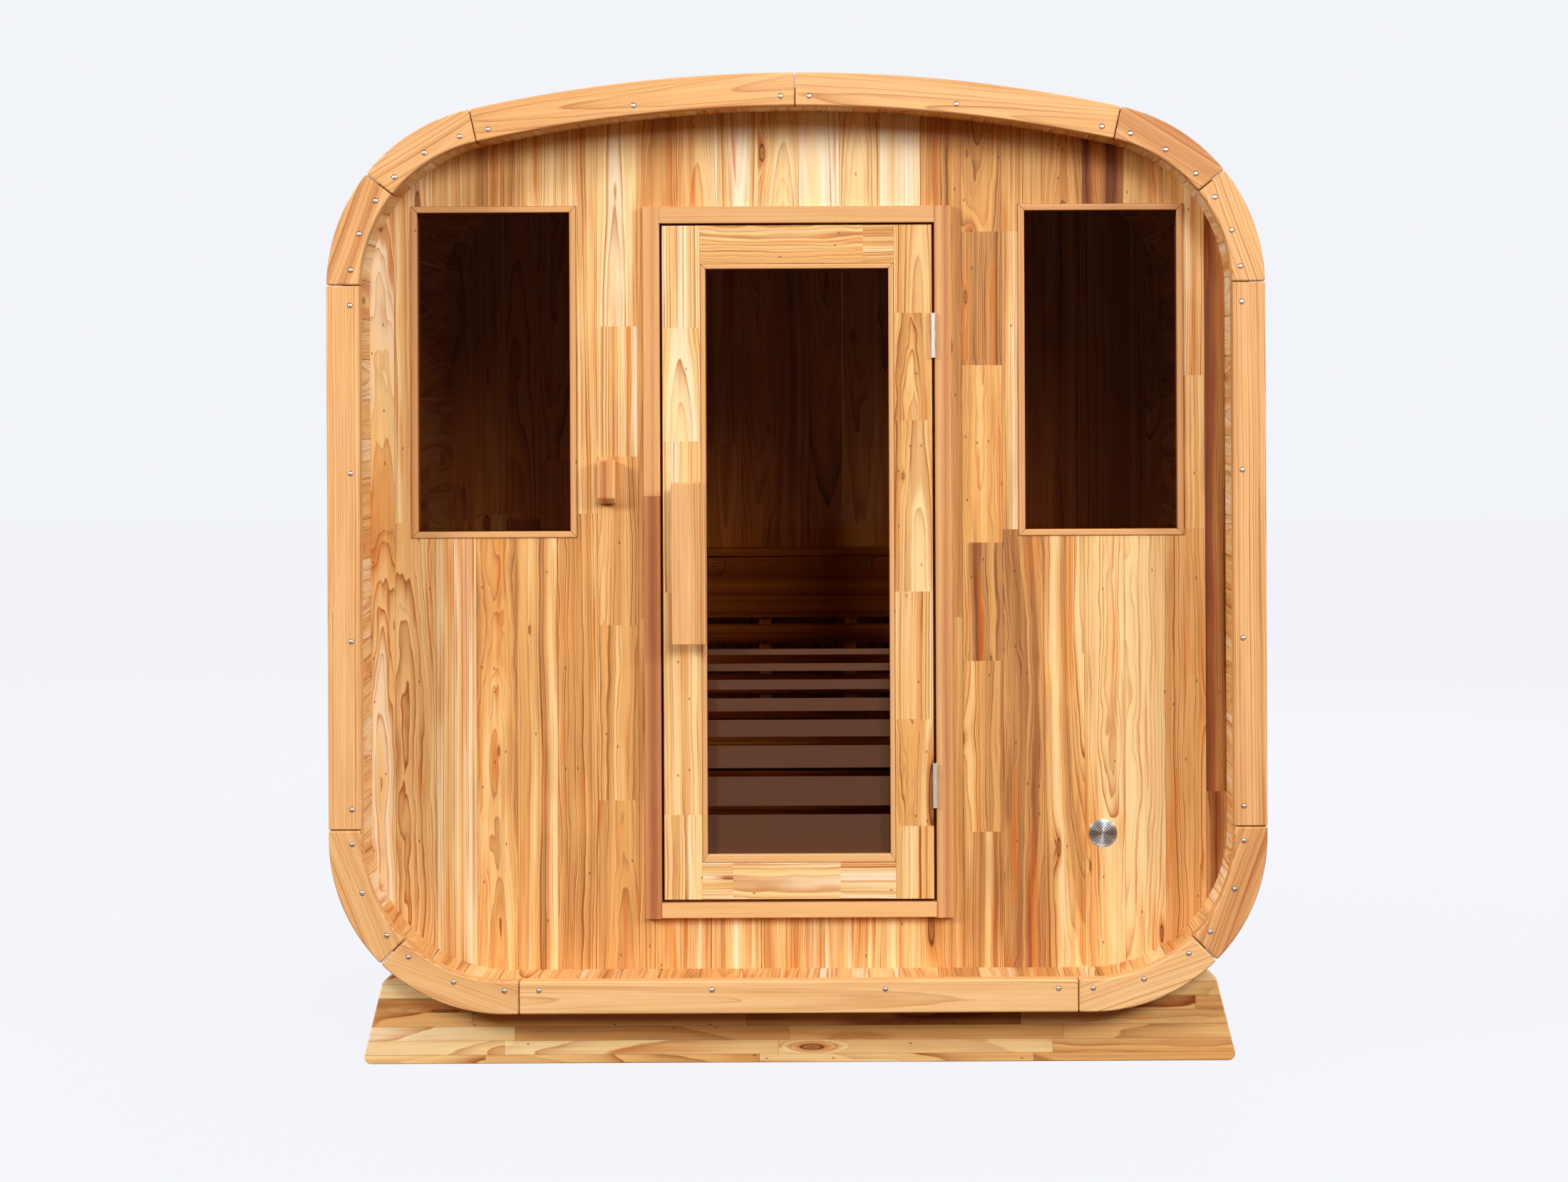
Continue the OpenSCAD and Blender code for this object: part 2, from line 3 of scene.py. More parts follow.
import math
import random

import bmesh
import bpy
from mathutils import Matrix, Vector


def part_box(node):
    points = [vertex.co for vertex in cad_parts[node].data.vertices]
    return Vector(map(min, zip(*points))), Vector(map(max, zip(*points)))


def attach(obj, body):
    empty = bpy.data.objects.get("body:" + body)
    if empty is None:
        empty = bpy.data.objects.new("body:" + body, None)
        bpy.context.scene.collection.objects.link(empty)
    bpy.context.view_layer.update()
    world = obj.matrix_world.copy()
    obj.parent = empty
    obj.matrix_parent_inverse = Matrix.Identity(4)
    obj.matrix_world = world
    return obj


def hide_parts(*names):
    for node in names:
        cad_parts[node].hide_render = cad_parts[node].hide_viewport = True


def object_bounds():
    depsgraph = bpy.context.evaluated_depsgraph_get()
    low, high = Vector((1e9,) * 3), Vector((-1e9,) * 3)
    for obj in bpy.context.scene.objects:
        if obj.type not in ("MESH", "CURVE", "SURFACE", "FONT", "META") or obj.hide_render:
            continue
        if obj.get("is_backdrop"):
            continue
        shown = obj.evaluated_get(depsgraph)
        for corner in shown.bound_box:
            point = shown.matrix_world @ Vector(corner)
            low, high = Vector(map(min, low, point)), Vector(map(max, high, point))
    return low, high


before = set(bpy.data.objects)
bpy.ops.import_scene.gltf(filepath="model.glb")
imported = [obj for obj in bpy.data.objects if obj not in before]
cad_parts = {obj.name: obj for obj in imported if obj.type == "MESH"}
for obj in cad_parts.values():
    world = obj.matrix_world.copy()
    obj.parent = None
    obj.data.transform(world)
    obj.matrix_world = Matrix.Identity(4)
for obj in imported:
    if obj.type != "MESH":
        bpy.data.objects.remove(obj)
cad_low, cad_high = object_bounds()
scene = bpy.context.scene
scene.view_settings.view_transform = "Standard"


# ---- Camera ----
# The view is level, a little right of the cabin's middle and 1.5 m above the ground, from
# seven metres in front of the rim. The lens is shifted to centre the cabin.
CAMERA_RIGHT = 0.132
CAMERA_HEIGHT = 1.504
CAMERA_DISTANCE = 7.0
CAMERA_ROLL = 0.26


def linked(name, data):
    """A new object in the scene."""
    item = bpy.data.objects.new(name, data)
    scene.collection.objects.link(item)
    return item


camera = linked("camera", bpy.data.cameras.new("camera"))
camera.location = (CAMERA_RIGHT, cad_low.y - CAMERA_DISTANCE, CAMERA_HEIGHT)
camera.rotation_euler = (math.radians(90), math.radians(CAMERA_ROLL), 0)
camera.data.lens = 71.89
camera.data.sensor_width = 36
camera.data.shift_x = -0.0454
camera.data.shift_y = -0.1238
scene.camera = camera


# ---- Studio ----
# A pale floor under a pale backdrop. A large soft lamp hangs high in front, to the right, with
# a weaker one out on each side and one behind that leaves no glare. The room around them is dim
# and warm below and pale above.
BACKDROP = (0.888, 0.905, 0.956, 1)
FLOOR_REACH = 30


class Value:
    """A node's output. Sums and products of it are further nodes in the same tree."""

    def __init__(self, nodes, socket):
        self.nodes = nodes
        self.socket = socket

    def __add__(self, other):
        return self.nodes.math("ADD", self, other)

    def __sub__(self, other):
        return self.nodes.math("SUBTRACT", self, other)

    def __rsub__(self, other):
        return self.nodes.math("SUBTRACT", other, self)

    def __mul__(self, other):
        return self.nodes.math("MULTIPLY", self, other)

    def __truediv__(self, other):
        return self.nodes.math("DIVIDE", self, other)

    def __pow__(self, other):
        return self.nodes.math("POWER", self, other)

    __radd__ = __add__
    __rmul__ = __mul__


class Nodes:
    """Short ways to add nodes to a tree. Values, numbers and tuples all serve as inputs."""

    def __init__(self, tree):
        self.tree = tree

    def put(self, socket, value):
        if isinstance(value, Value):
            self.tree.links.new(value.socket, socket)
        else:
            socket.default_value = value

    def add(self, kind, settings=(), **inputs):
        """A new node. An input's name has underscores for its spaces."""
        node = self.tree.nodes.new(kind)
        for key, value in dict(settings).items():
            setattr(node, key, value)
        for key, value in inputs.items():
            name = key.replace("_", " ")
            self.put(next(s for s in node.inputs if s.enabled and s.name == name), value)
        return node

    def result(self, kind, settings=(), output=None, **inputs):
        """The named output of a new node, or the first that is in use."""
        node = self.add(kind, settings, **inputs)
        socket = node.outputs[output] if output else next(s for s in node.outputs if s.enabled)
        return Value(self, socket)

    def filled(self, kind, settings, values):
        """The first output in use of a new node whose inputs in use are filled in order."""
        node = self.add(kind, settings)
        for socket, value in zip([s for s in node.inputs if s.enabled], values):
            self.put(socket, value)
        return Value(self, next(s for s in node.outputs if s.enabled))

    def math(self, operation, *values, clamp=False):
        return self.filled("ShaderNodeMath", {"operation": operation, "use_clamp": clamp}, values)

    def vector_math(self, operation, *values):
        return self.filled("ShaderNodeVectorMath", {"operation": operation}, values)

    def vector(self, x=0.0, y=0.0, z=0.0):
        return self.result("ShaderNodeCombineXYZ", X=x, Y=y, Z=z)

    def split(self, value):
        parts = self.add("ShaderNodeSeparateXYZ", Vector=value)
        return [Value(self, socket) for socket in parts.outputs]

    def mixed(self, share, first, second):
        """A surface or light that goes from the first to the second with share."""
        return self.filled("ShaderNodeMixShader", {}, (share, first, second))

    def ramp(self, value, stops):
        """A colour that follows value through stops, each with its place and its colour."""
        node = self.add("ShaderNodeValToRGB", Fac=value)
        elements = node.color_ramp.elements
        while len(elements) < len(stops):
            elements.new(0.5)
        for element, (position, tint) in zip(elements, stops):
            element.position = position
            element.color = tint
        return Value(self, node.outputs["Color"])


class Finish(Nodes):
    """A new material."""

    def __init__(self, name):
        self.material = bpy.data.materials.new(name)
        self.material.use_nodes = True
        super().__init__(self.material.node_tree)
        self.tree.nodes.clear()

    def span(self, value, low, high, to_low=0.0, to_high=1.0):
        """Eases from one value to another as the first goes from low to high."""
        return self.filled("ShaderNodeMapRange", {"interpolation_type": "SMOOTHSTEP"},
                           (value, low, high, to_low, to_high))

    def blend(self, share, first, second, kind="MIX"):
        return self.filled("ShaderNodeMix", {"data_type": "RGBA", "blend_type": kind},
                           (share, first, second))

    def noise(self, place, scales, detail=1.0, roughness=0.5):
        return self.result("ShaderNodeTexNoise", Vector=self.vector_math("MULTIPLY", place, scales),
                           Scale=1.0, Detail=detail, Roughness=roughness)

    def place(self):
        return self.result("ShaderNodeTexCoord", output="Object")

    def finish(self, surface):
        """Sets the surface, as the tree's end, and hands over the material."""
        self.add("ShaderNodeOutputMaterial", Surface=surface)
        return self.material

    def painted(self, **inputs):
        """The material, with a Principled surface of these inputs."""
        return self.finish(self.result("ShaderNodeBsdfPrincipled", **inputs))


def area_lamp(name, place, aim, size, watts):
    lamp = linked(name, bpy.data.lights.new(name, "AREA"))
    lamp.location = place
    lamp.rotation_euler = (Vector(aim) - Vector(place)).to_track_quat("-Z", "Y").to_euler()
    lamp.data.shape = "RECTANGLE"
    lamp.data.size, lamp.data.size_y = size
    lamp.data.energy = watts
    lamp.data.color = (0.97, 1.0, 1.0)
    return lamp


area_lamp("key_lamp", (3.2, -14.1, 6.9), (0, -0.8, 1.1), (3.3, 4.2), 860)
area_lamp("left_lamp", (-7.0, -5.5, 4.5), (0, -0.8, 1.0), (2.0, 2.0), 500)
area_lamp("right_lamp", (7.0, -5.5, 4.5), (0, -0.8, 1.0), (2.0, 2.0), 350)
back_lamp = area_lamp("back_lamp", (1.5, 6.5, 4.5), (0, 0.5, 1.0), (4.0, 2.5), 330)
back_lamp.visible_glossy = False

world = bpy.data.worlds.new("studio")
scene.world = world
world.use_nodes = True
world.node_tree.nodes.clear()
air = Nodes(world.node_tree)
upward = air.split(air.result("ShaderNodeTexCoord", output="Generated"))[2]
level = air.result("ShaderNodeMapRange", Value=upward, From_Min=0.02, From_Max=0.72)
strength = air.result("ShaderNodeMapRange", Value=level, To_Min=0.045, To_Max=0.76)
warmth = air.ramp(level, ((0.0, (1.0, 0.54, 0.28, 1)), (1.0, (1.0, 0.93, 0.84, 1))))
ambient = air.result("ShaderNodeBackground", Color=warmth, Strength=strength)
backdrop = air.result("ShaderNodeBackground", Color=BACKDROP)
camera_ray, glass_ray, gloss_ray = [
    air.result("ShaderNodeLightPath", output=f"Is {kind} Ray")
    for kind in ("Camera", "Transmission", "Glossy")]
shown = air.math("MULTIPLY_ADD", gloss_ray, 0.5, air.math("MAXIMUM", camera_ray, glass_ray),
                 clamp=True)
air.add("ShaderNodeOutputWorld", Surface=air.mixed(shown, ambient, backdrop))


def mesh_of(name, points, edges=(), faces=()):
    """A new mesh of points and of the edges or faces between them."""
    mesh = bpy.data.meshes.new(name)
    mesh.from_pydata(points, edges, faces)
    return mesh


floor_corners = [(FLOOR_REACH * x, FLOOR_REACH * y, 0)
                 for x, y in ((-1, -1), (1, -1), (1, 1), (-1, 1))]
studio_floor = linked("studio_floor", mesh_of("studio_floor", floor_corners, (), [(0, 1, 2, 3)]))
f = Finish("studio_floor")
paint = f.result("ShaderNodeBsdfPrincipled", Base_Color=(0.78, 0.77, 0.76, 1), Roughness=0.9)
glow = f.result("ShaderNodeEmission", Color=BACKDROP, Strength=1.016)
bounce = f.result("ShaderNodeBsdfDiffuse", Color=(0.10, 0.055, 0.028, 1))
camera_ray = f.result("ShaderNodeLightPath", output="Is Camera Ray")
studio_floor.data.materials.append(
    f.finish(f.mixed(camera_ray, bounce, f.mixed(0.95, paint, glow))))
studio_floor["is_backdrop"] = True


# ---- Staves ----
# Softwood staves, 44 mm thick and about 90 mm wide, run from rim to rim and wrap round the
# cabin in a closed ring, edge to edge. Each is finger-jointed from three blocks and oiled.


def colour(code):
    """A colour as written on a paint card, in linear light."""
    parts = [int(code[i : i + 2], 16) / 255 for i in (0, 2, 4)]
    return [c / 12.92 if c < 0.04045 else ((c + 0.055) / 1.055) ** 2.4 for c in parts] + [1]


# Early wood and late wood, from cream sapwood through honey and grey-brown to dark red heartwood
EARLY_WOOD = ((0.0, "FEE9C8"), (0.11, "FBD9A0"), (0.22, "F5C888"), (0.42, "E7A964"),
              (0.58, "D0955A"), (0.72, "B67B48"), (0.86, "A0592F"), (1.0, "7C4223"))
LATE_WOOD = ((0.0, "C67A2E"), (0.22, "A8581F"), (0.42, "8C461B"), (0.58, "6E3A1A"),
             (0.72, "5A3018"), (0.86, "4A1F0D"), (1.0, "321508"))


def glued_strips(f, height, length, lowest):
    """Grain, log and look of strips glued in rows from the lowest seam up, and the seams' shade."""
    x, y, z = f.split(f.place())
    level = (z - lowest) / height
    row = f.math("FLOOR", level)
    start = f.result("ShaderNodeTexWhiteNoise", {"noise_dimensions": "1D"}, W=row)
    reach = start * 7.0 + x / length
    strip = f.vector(row, f.math("FLOOR", reach), f.math("FLOOR", y * 3.0))
    first, second = [
        f.result("ShaderNodeTexWhiteNoise", {"noise_dimensions": "3D"}, "Color",
                 Vector=f.vector_math("ADD", strip, (0.0, 0.0, step))) for step in (0.0, 17.0)]
    grain = f.vector((f.math("FRACT", level) - 0.5) * height, y, x)
    log = f.vector_math("MULTIPLY_ADD", first, (0.16, 0.05, 0.05), (-0.08, 0.02, -0.025))
    look = f.vector_math("MULTIPLY_ADD", second, (0.36, 0.0040, 40.0), (0.14, 0.0036, 0.0))
    to_row = f.math("PINGPONG", level, 0.5) * height
    to_joint = f.math("PINGPONG", reach, 0.5) * length
    seam = f.span(f.math("MINIMUM", to_row, to_joint), 0.0, 0.0011, 0.55, 0.0)
    return grain, log, look, seam


def timber(name, early=EARLY_WOOD, late=LATE_WOOD, contrast=1.0, line=0.0021, wander=0.015,
           knots=0.17, resin=0.8, smoke=0.42, drift=0.30, streaks=0.28, roughness=0.48,
           strips=None):
    """Softwood sawn from a log, with rings about a pith that leans from the board's own axis.

    A board's mesh carries grain, its coordinates across, through and along the board, log, the
    pith's place across and below the face and its lean, look, the board's tone from cream to
    dark, the rings' width and a seed, and wild, which is 1 for an even board and more for a
    knotty one. With strips they come instead from rows of glued strips of that height and
    length, from the lowest row up, across X and Z.
    """
    f = Finish(name)
    if strips:
        grain, log, look, seam = glued_strips(f, *strips)
        wild = 1.0
    else:
        grain, log, look = [f.result("ShaderNodeAttribute", {"attribute_name": label}, "Vector")
                            for label in ("grain", "log", "look")]
        wild = f.result("ShaderNodeAttribute", {"attribute_name": "wild"}, "Fac")
        seam = 0.0
    across, through, along = f.split(grain)
    pith_across, pith_below, lean = f.split(log)
    tone, ring, seed = f.split(look)
    place = f.vector_math("MULTIPLY_ADD", f.vector(seed, seed, seed), (7.13, 3.71, 5.37), grain)
    place_across, _, place_along = f.split(place)

    # Knots: at most one in each cell of the face, and only in some, from round to long and dark
    cell_width, cell_length = 0.09, 0.40
    smallest_knot, largest_knot = 0.0018, 0.0080
    ripple = f.noise(place, (36, 36, 8), 1.5) - 0.5
    cell = f.vector(place_across / cell_width, place_along / cell_length)
    cells = {"voronoi_dimensions": "2D"}
    cell_chance, cell_middle = [
        f.result("ShaderNodeTexVoronoi", cells, output, Vector=cell, Scale=1.0, Randomness=0.8)
        for output in ("Color", "Position")]
    chance, size, dark_knot = f.split(cell_chance)
    sideways, lengthways, _ = f.split(f.vector_math("SUBTRACT", cell, cell_middle))
    stretch = dark_knot * (-0.32 * cell_length) + 0.42 * cell_length
    reach = f.vector_math("LENGTH", f.vector(sideways * cell_width, lengthways * stretch))
    has_knot = f.math("LESS_THAN", chance, wild * knots)
    radius = size ** 2.0 * (largest_knot - smallest_knot) + smallest_knot
    near = reach / radius
    swirl = f.math("EXPONENT", near ** 2.0 * -0.09) * has_knot * (radius * 3.4)
    near = near * (ripple * 1.1 + 1.0)

    # Distance from the pith, with a slow waver, a quick one and a bend round each knot
    waver = f.noise(place, (8, 8, 1.6), 1.5) - 0.5
    below = pith_below + through + lean * along
    distance = f.math("SQRT", (across - pith_across) ** 2.0 + below ** 2.0)
    distance = waver * (wild * (2 * wander)) + distance
    distance = ripple * (wild ** 2.0 * (0.42 * wander)) + distance
    distance = swirl + distance

    # Rings: each ends in a thin dark line of late wood, and some years are stronger than others
    count = distance / ring
    groups = seed * 3.0 + count
    years, decades = [f.result("ShaderNodeTexNoise", {"noise_dimensions": "1D"}, W=groups,
                               Scale=scale, Detail=1.0) for scale in (0.45, 0.2)]
    count = years * 2.2 + count
    part = f.math("FRACT", count)
    thin = f.math("EXPONENT", (1.0 - part) * ring / -line)
    late_part = f.math("MAXIMUM", thin, part ** 2.0 * 0.26)
    late_part = late_part * f.span(part, 0.95, 1.0, 1.0, 0.25)
    strength = f.result("ShaderNodeTexWhiteNoise", {"noise_dimensions": "2D"},
                        Vector=f.vector(f.math("FLOOR", count), seed))
    fading = f.span(f.noise(place, (30, 30, 3.5), 1.0), 0.3, 0.6, 0.5, 1.0)
    late_part = late_part * (fading * (strength ** 2.0 * 0.95 + 0.42))

    # Tone drifts along the board and from decade to decade, with smoky heartwood in places
    cloud = f.noise(place, (16, 16, 1.2), 2.5, 0.55) - 0.5
    own_tone = f.math("MULTIPLY_ADD", decades - 0.5, 0.75, cloud * drift + tone, clamp=True)
    early_colour, late_colour = [f.ramp(own_tone, [(stop, colour(code)) for stop, code in stops])
                                 for stops in (early, late)]
    body = f.blend(f.math("MULTIPLY", late_part, contrast, clamp=True), early_colour, late_colour)
    haze = f.span(f.noise(place, (26, 26, 2.6), 2.0), 0.54, 0.74, 0.0, smoke)
    body = f.blend(haze, body, f.blend(1.0, body, colour("CDB199"), "MULTIPLY"))

    # Warm resin beside some rings, then fibres, then the knots themselves
    seep = f.span(f.noise(place, (50, 50, 2.2), 2.0), 0.56, 0.70, 0.0, resin)
    body = f.blend(seep * (part * 0.8 + 0.2), body, colour("CE6812"))
    streak = f.span(f.noise(place, (150, 150, 2.6), 2.5), 0.25, 0.75)
    body = f.blend(streaks, body, f.blend(streak, colour("6C5338"), colour("F4F1E6")), "SOFT_LIGHT")
    fibre = f.noise(place, (560, 560, 11), 1.5, 0.6)
    body = f.blend(0.35, body, f.blend(fibre, colour("7E7E7E"), colour("FFFFFF")), "SOFT_LIGHT")
    body = f.blend(has_knot * f.span(near, 0.9, 3.0, 0.65, 0.0), body, colour("C0661C"))
    growth = f.math("PINGPONG", near * 1.7, 1.0)
    knot_colour = f.blend(growth, colour("9C5A28"), colour("C88747"))
    knot_colour = f.blend(dark_knot * 0.55, knot_colour, colour("47260F"))
    body = f.blend(has_knot * f.span(near, 0.8, 1.05, 0.9, 0.0), body, knot_colour)
    rind = f.span(near, 0.72, 0.96) * f.span(near, 1.0, 1.3, 0.85, 0.0)
    body = f.blend(has_knot * rind, body, colour("54290F"))

    # Pin knots: small dark ticks, most in wild boards
    pin = f.vector(place_across * 38, place_along * 17)
    pin_chance, pin_reach = [
        f.result("ShaderNodeTexVoronoi", cells, output, Vector=pin, Scale=1.0, Randomness=0.9)
        for output in ("Color", "Distance")]
    is_pin = f.math("LESS_THAN", f.split(pin_chance)[0], wild ** 2.0 * (0.28 * knots))
    body = f.blend(is_pin * f.span(pin_reach, 0.02, 0.09, 0.85, 0.0), body, colour("5E2F12"))
    body = f.blend(seam, body, f.blend(1.0, body, colour("9A6A48"), "MULTIPLY"))

    relief = fibre * 0.3 + late_part * -0.4
    bump = f.result("ShaderNodeBump", Height=relief, Strength=0.3, Distance=0.0006)
    return f.painted(Base_Color=body, Roughness=fibre * 0.14 + (roughness - 0.07), Normal=bump,
                     IOR=1.42, Specular_IOR_Level=0.3)


def piece(name, mesh, material, slot, *nodes, body="cabin"):
    """A finished piece that rides on a body and stands for the given CAD nodes."""
    item = linked(name, mesh)
    if not mesh.materials:
        mesh.materials.append(material)
    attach(item, body)
    if nodes:
        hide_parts(*nodes)


def applied(mesh, **modifiers):
    """The mesh with modifiers applied, each given as its kind and a dict of its settings."""
    holder = linked("holder", mesh)
    for kind, settings in modifiers.items():
        modifier = holder.modifiers.new(kind, kind)
        for key, value in settings.items():
            if key.startswith("Socket"):
                modifier[key] = value
            else:
                setattr(modifier, key, value)
    depsgraph = bpy.context.evaluated_depsgraph_get()
    result = bpy.data.meshes.new_from_object(holder.evaluated_get(depsgraph),
                                             preserve_all_data_layers=True, depsgraph=depsgraph)
    bpy.data.objects.remove(holder)
    return result


def smoothed(mesh, angle=50):
    """The mesh with round edges shaded round and flat faces kept flat."""
    mesh.shade_smooth()
    mesh.set_sharp_from_angle(angle=math.radians(angle))
    return applied(mesh, WEIGHTED_NORMAL={"keep_sharp": True, "weight": 100})


class Tree(Nodes):
    """A Geometry Nodes tree with named inputs."""

    def __init__(self, name, **inputs):
        super().__init__(bpy.data.node_groups.new(name, "GeometryNodeTree"))
        sockets = self.tree.interface
        sockets.new_socket("Geometry", in_out="INPUT", socket_type="NodeSocketGeometry")
        self.identifiers = {
            label: sockets.new_socket(label.replace("_", " "), in_out="INPUT",
                                      socket_type="NodeSocket" + kind).identifier
            for label, kind in inputs.items()}
        sockets.new_socket("Geometry", in_out="OUTPUT", socket_type="NodeSocketGeometry")
        given = self.tree.nodes.new("NodeGroupInput")
        self.given = {socket.name.replace(" ", "_"): Value(self, socket)
                      for socket in given.outputs if socket.name}

    def chance(self, kind, low, high, **inputs):
        """A random number or vector between two others."""
        return self.result("FunctionNodeRandomValue", {"data_type": kind}, Min=low, Max=high,
                           **inputs)

    def attribute(self, name):
        return self.result("GeometryNodeInputNamedAttribute", {"data_type": "FLOAT_VECTOR"},
                           Name=name)

    def stored(self, geometry, domain, name, value):
        return self.result("GeometryNodeStoreNamedAttribute",
                           {"data_type": "FLOAT_VECTOR", "domain": domain},
                           Geometry=geometry, Name=name, Value=value)

    def finish(self, geometry):
        """Realizes the instances and sets the material, as the tree's end."""
        real = self.result("GeometryNodeRealizeInstances", Geometry=geometry)
        self.add("NodeGroupOutput", Geometry=self.result(
            "GeometryNodeSetMaterial", Geometry=real, Material=self.given["Material"]))

    def made(self, mesh, **values):
        """The mesh that the tree makes of the given one, with these inputs."""
        settings = {self.identifiers[label]: value for label, value in values.items()}
        return applied(mesh, NODES={"node_group": self.tree, **settings})


RIM_LIP = 0.030
STAVE_THICK = 0.044
ROOM_INSET = RIM_LIP + STAVE_THICK
HALF_WIDTH = cad_high.x
CROWN_RADIUS = 3.390
CROWN_CENTRE = Vector((0, cad_high.z - CROWN_RADIUS))
UPPER_RADIUS = 0.409
UPPER_CENTRE = Vector((HALF_WIDTH - UPPER_RADIUS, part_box("side_staves_right")[1].z))
LOWER_RADIUS = 0.393
LOWER_CENTRE = Vector((HALF_WIDTH - LOWER_RADIUS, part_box("side_staves_right")[0].z))
CROWN_ANGLE = math.atan2(UPPER_CENTRE.x, UPPER_CENTRE.y - CROWN_CENTRE.y)
QUARTER_TURN = math.pi / 2
ARC_STEP = 0.012
STAVE_LENGTH = 2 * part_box("floor_staves")[1].y
STAVE_PITCH = 0.0905
STAVE_SEAM = 0.0006
STAVE_CHAMFER = 0.0015
# Painted shade low on the staves: the height it starts below, the height over which it grows and
# how much it darkens the tone
PAINTED_SHADE_TOP = 0.36
PAINTED_SHADE_FADE = 0.16
PAINTED_SHADE_TONE = 0.12


def arc(centre, radius, start, end):
    """Points along an arc in X and Z, from one angle to another in radians."""
    count = max(2, math.ceil(abs(end - start) * radius / ARC_STEP))
    turns = [start + (end - start) * i / count for i in range(count + 1)]
    return [centre + radius * Vector((math.cos(turn), math.sin(turn))) for turn in turns]


def shell(inset):
    """The cabin's closed outline, drawn in by inset, from the bottom's middle to the right."""
    right = [Vector((0, LOWER_CENTRE.y - LOWER_RADIUS + inset))]
    right += arc(LOWER_CENTRE, LOWER_RADIUS - inset, -QUARTER_TURN, 0)
    right += arc(UPPER_CENTRE, UPPER_RADIUS - inset, 0, QUARTER_TURN - CROWN_ANGLE)
    right += arc(CROWN_CENTRE, CROWN_RADIUS - inset, QUARTER_TURN - CROWN_ANGLE,
                 QUARTER_TURN)[1:]
    left = [Vector((-point.x, point.y)) for point in reversed(right[1:-1])]
    return right + left


def stave_section(width):
    """A stave's outline across and through, with chamfered edges and faces in three strips."""
    half, cut = width / 2, STAVE_CHAMFER
    faces = [half - cut, (half - cut) / 3, -(half - cut) / 3, -(half - cut)]
    outside = [(-x, 0) for x in faces]
    inside = [(x, STAVE_THICK) for x in faces]
    right_side = [(half, cut), (half, STAVE_THICK - cut)]
    left_side = [(-half, STAVE_THICK - cut), (-half, cut)]
    return outside + right_side + inside + left_side


outline = [Vector((point.x, 0, point.y)) for point in shell(RIM_LIP)]
outline_length = sum((b - a).length for a, b in zip(outline, outline[1:] + outline[:1]))
stave_count = round(outline_length / STAVE_PITCH)
section = stave_section(outline_length / stave_count - STAVE_SEAM)
side = len(section)
stave_block = linked("stave_block", mesh_of(
    "stave_block", [(x, end, z) for end in (0, 1) for x, z in section], (),
    [tuple(range(side - 1, -1, -1)), tuple(range(side, 2 * side))]
    + [(i, (i + 1) % side, side + (i + 1) % side, side + i) for i in range(side)]))

wrap = Tree("stave_wrap", Block="Object", Staves="Int", Blocks="Int", Length="Float",
            Joint_Shift="Float", Seed="Int", Material="Material")
staves_round, blocks_each, seed = [wrap.given[label] for label in ("Staves", "Blocks", "Seed")]
path = wrap.result("GeometryNodeMeshToCurve", Mesh=wrap.given["Geometry"])
path_length = wrap.result("GeometryNodeCurveLength", Curve=path)
places = wrap.result("GeometryNodeMeshLine", {"mode": "OFFSET"}, Offset=(0.0, 0.0, 0.0),
                     Count=staves_round * blocks_each)
index = wrap.result("GeometryNodeInputIndex")
stave_number = wrap.math("FLOOR", (index + 0.5) / blocks_each)
block_number = index - stave_number * blocks_each


def joint_place(number):
    """Where joint number lies along the stave: evenly spaced, then shifted by chance."""
    share = number / blocks_each
    between_ends = share * (0.999 - share)
    inner = wrap.math("MAXIMUM", wrap.math("SIGN", between_ends), 0.0)
    shift = wrap.chance("FLOAT", -1.0, 1.0, ID=stave_number * 7.0 + number, Seed=seed)
    return (share - 0.5) * wrap.given["Length"] + shift * inner * wrap.given["Joint_Shift"]


low_joint = joint_place(block_number)
block_length = joint_place(block_number + 1.0) - low_joint
seat = wrap.vector(stave_number * (path_length / staves_round), low_joint, block_length)
log = wrap.chance("FLOAT_VECTOR", (-0.07, 0.018, -0.03), (0.07, 0.075, 0.03), Seed=seed)
look = wrap.chance("FLOAT_VECTOR", (0.03, 0.0030, 0.0), (0.32, 0.0056, 40.0), Seed=seed + 9.0)
blocks = wrap.result("GeometryNodeObjectInfo", output="Geometry", Object=wrap.given["Block"])
laid = wrap.result("GeometryNodeInstanceOnPoints", Points=places, Instance=blocks)
for label, value in (("seat", seat), ("log", log), ("look", look), ("wild", (1.0, 1.0, 1.0))):
    laid = wrap.stored(laid, "INSTANCE", label, value)
loose = wrap.result("GeometryNodeRealizeInstances", Geometry=laid)
across, down_block, through = wrap.split(wrap.result("GeometryNodeInputPosition"))
round_seat, low_end, length = wrap.split(wrap.attribute("seat"))
down_stave = down_block * length + low_end
loose = wrap.stored(loose, "POINT", "grain", wrap.vector(across, through, down_stave))
sample = wrap.add("GeometryNodeSampleCurve", {"mode": "LENGTH"}, Curves=path,
                  Length=wrap.math("FLOORED_MODULO", across + round_seat, path_length))
on_path, tangent = [Value(wrap, sample.outputs[label]) for label in ("Position", "Tangent")]
inward = wrap.vector_math("NORMALIZE", wrap.vector_math("CROSS_PRODUCT", tangent, (0.0, 1.0, 0.0)))
wrapped = wrap.vector_math("ADD", on_path, wrap.vector_math("SCALE", inward, through))
wrapped = wrap.vector_math("ADD", wrapped, wrap.vector(y=down_stave))
wrap.finish(wrap.result("GeometryNodeSetPosition", Geometry=loose, Position=wrapped))

stave_wood = timber("stave_wood", wander=0.006)
outline_mesh = mesh_of("shell_outline", outline,
                       [(i, (i + 1) % len(outline)) for i in range(len(outline))])
staves = wrap.made(outline_mesh, Block=stave_block, Staves=stave_count, Blocks=3,
                   Length=STAVE_LENGTH, Joint_Shift=0.22, Seed=5, Material=stave_wood)
bpy.data.objects.remove(stave_block)
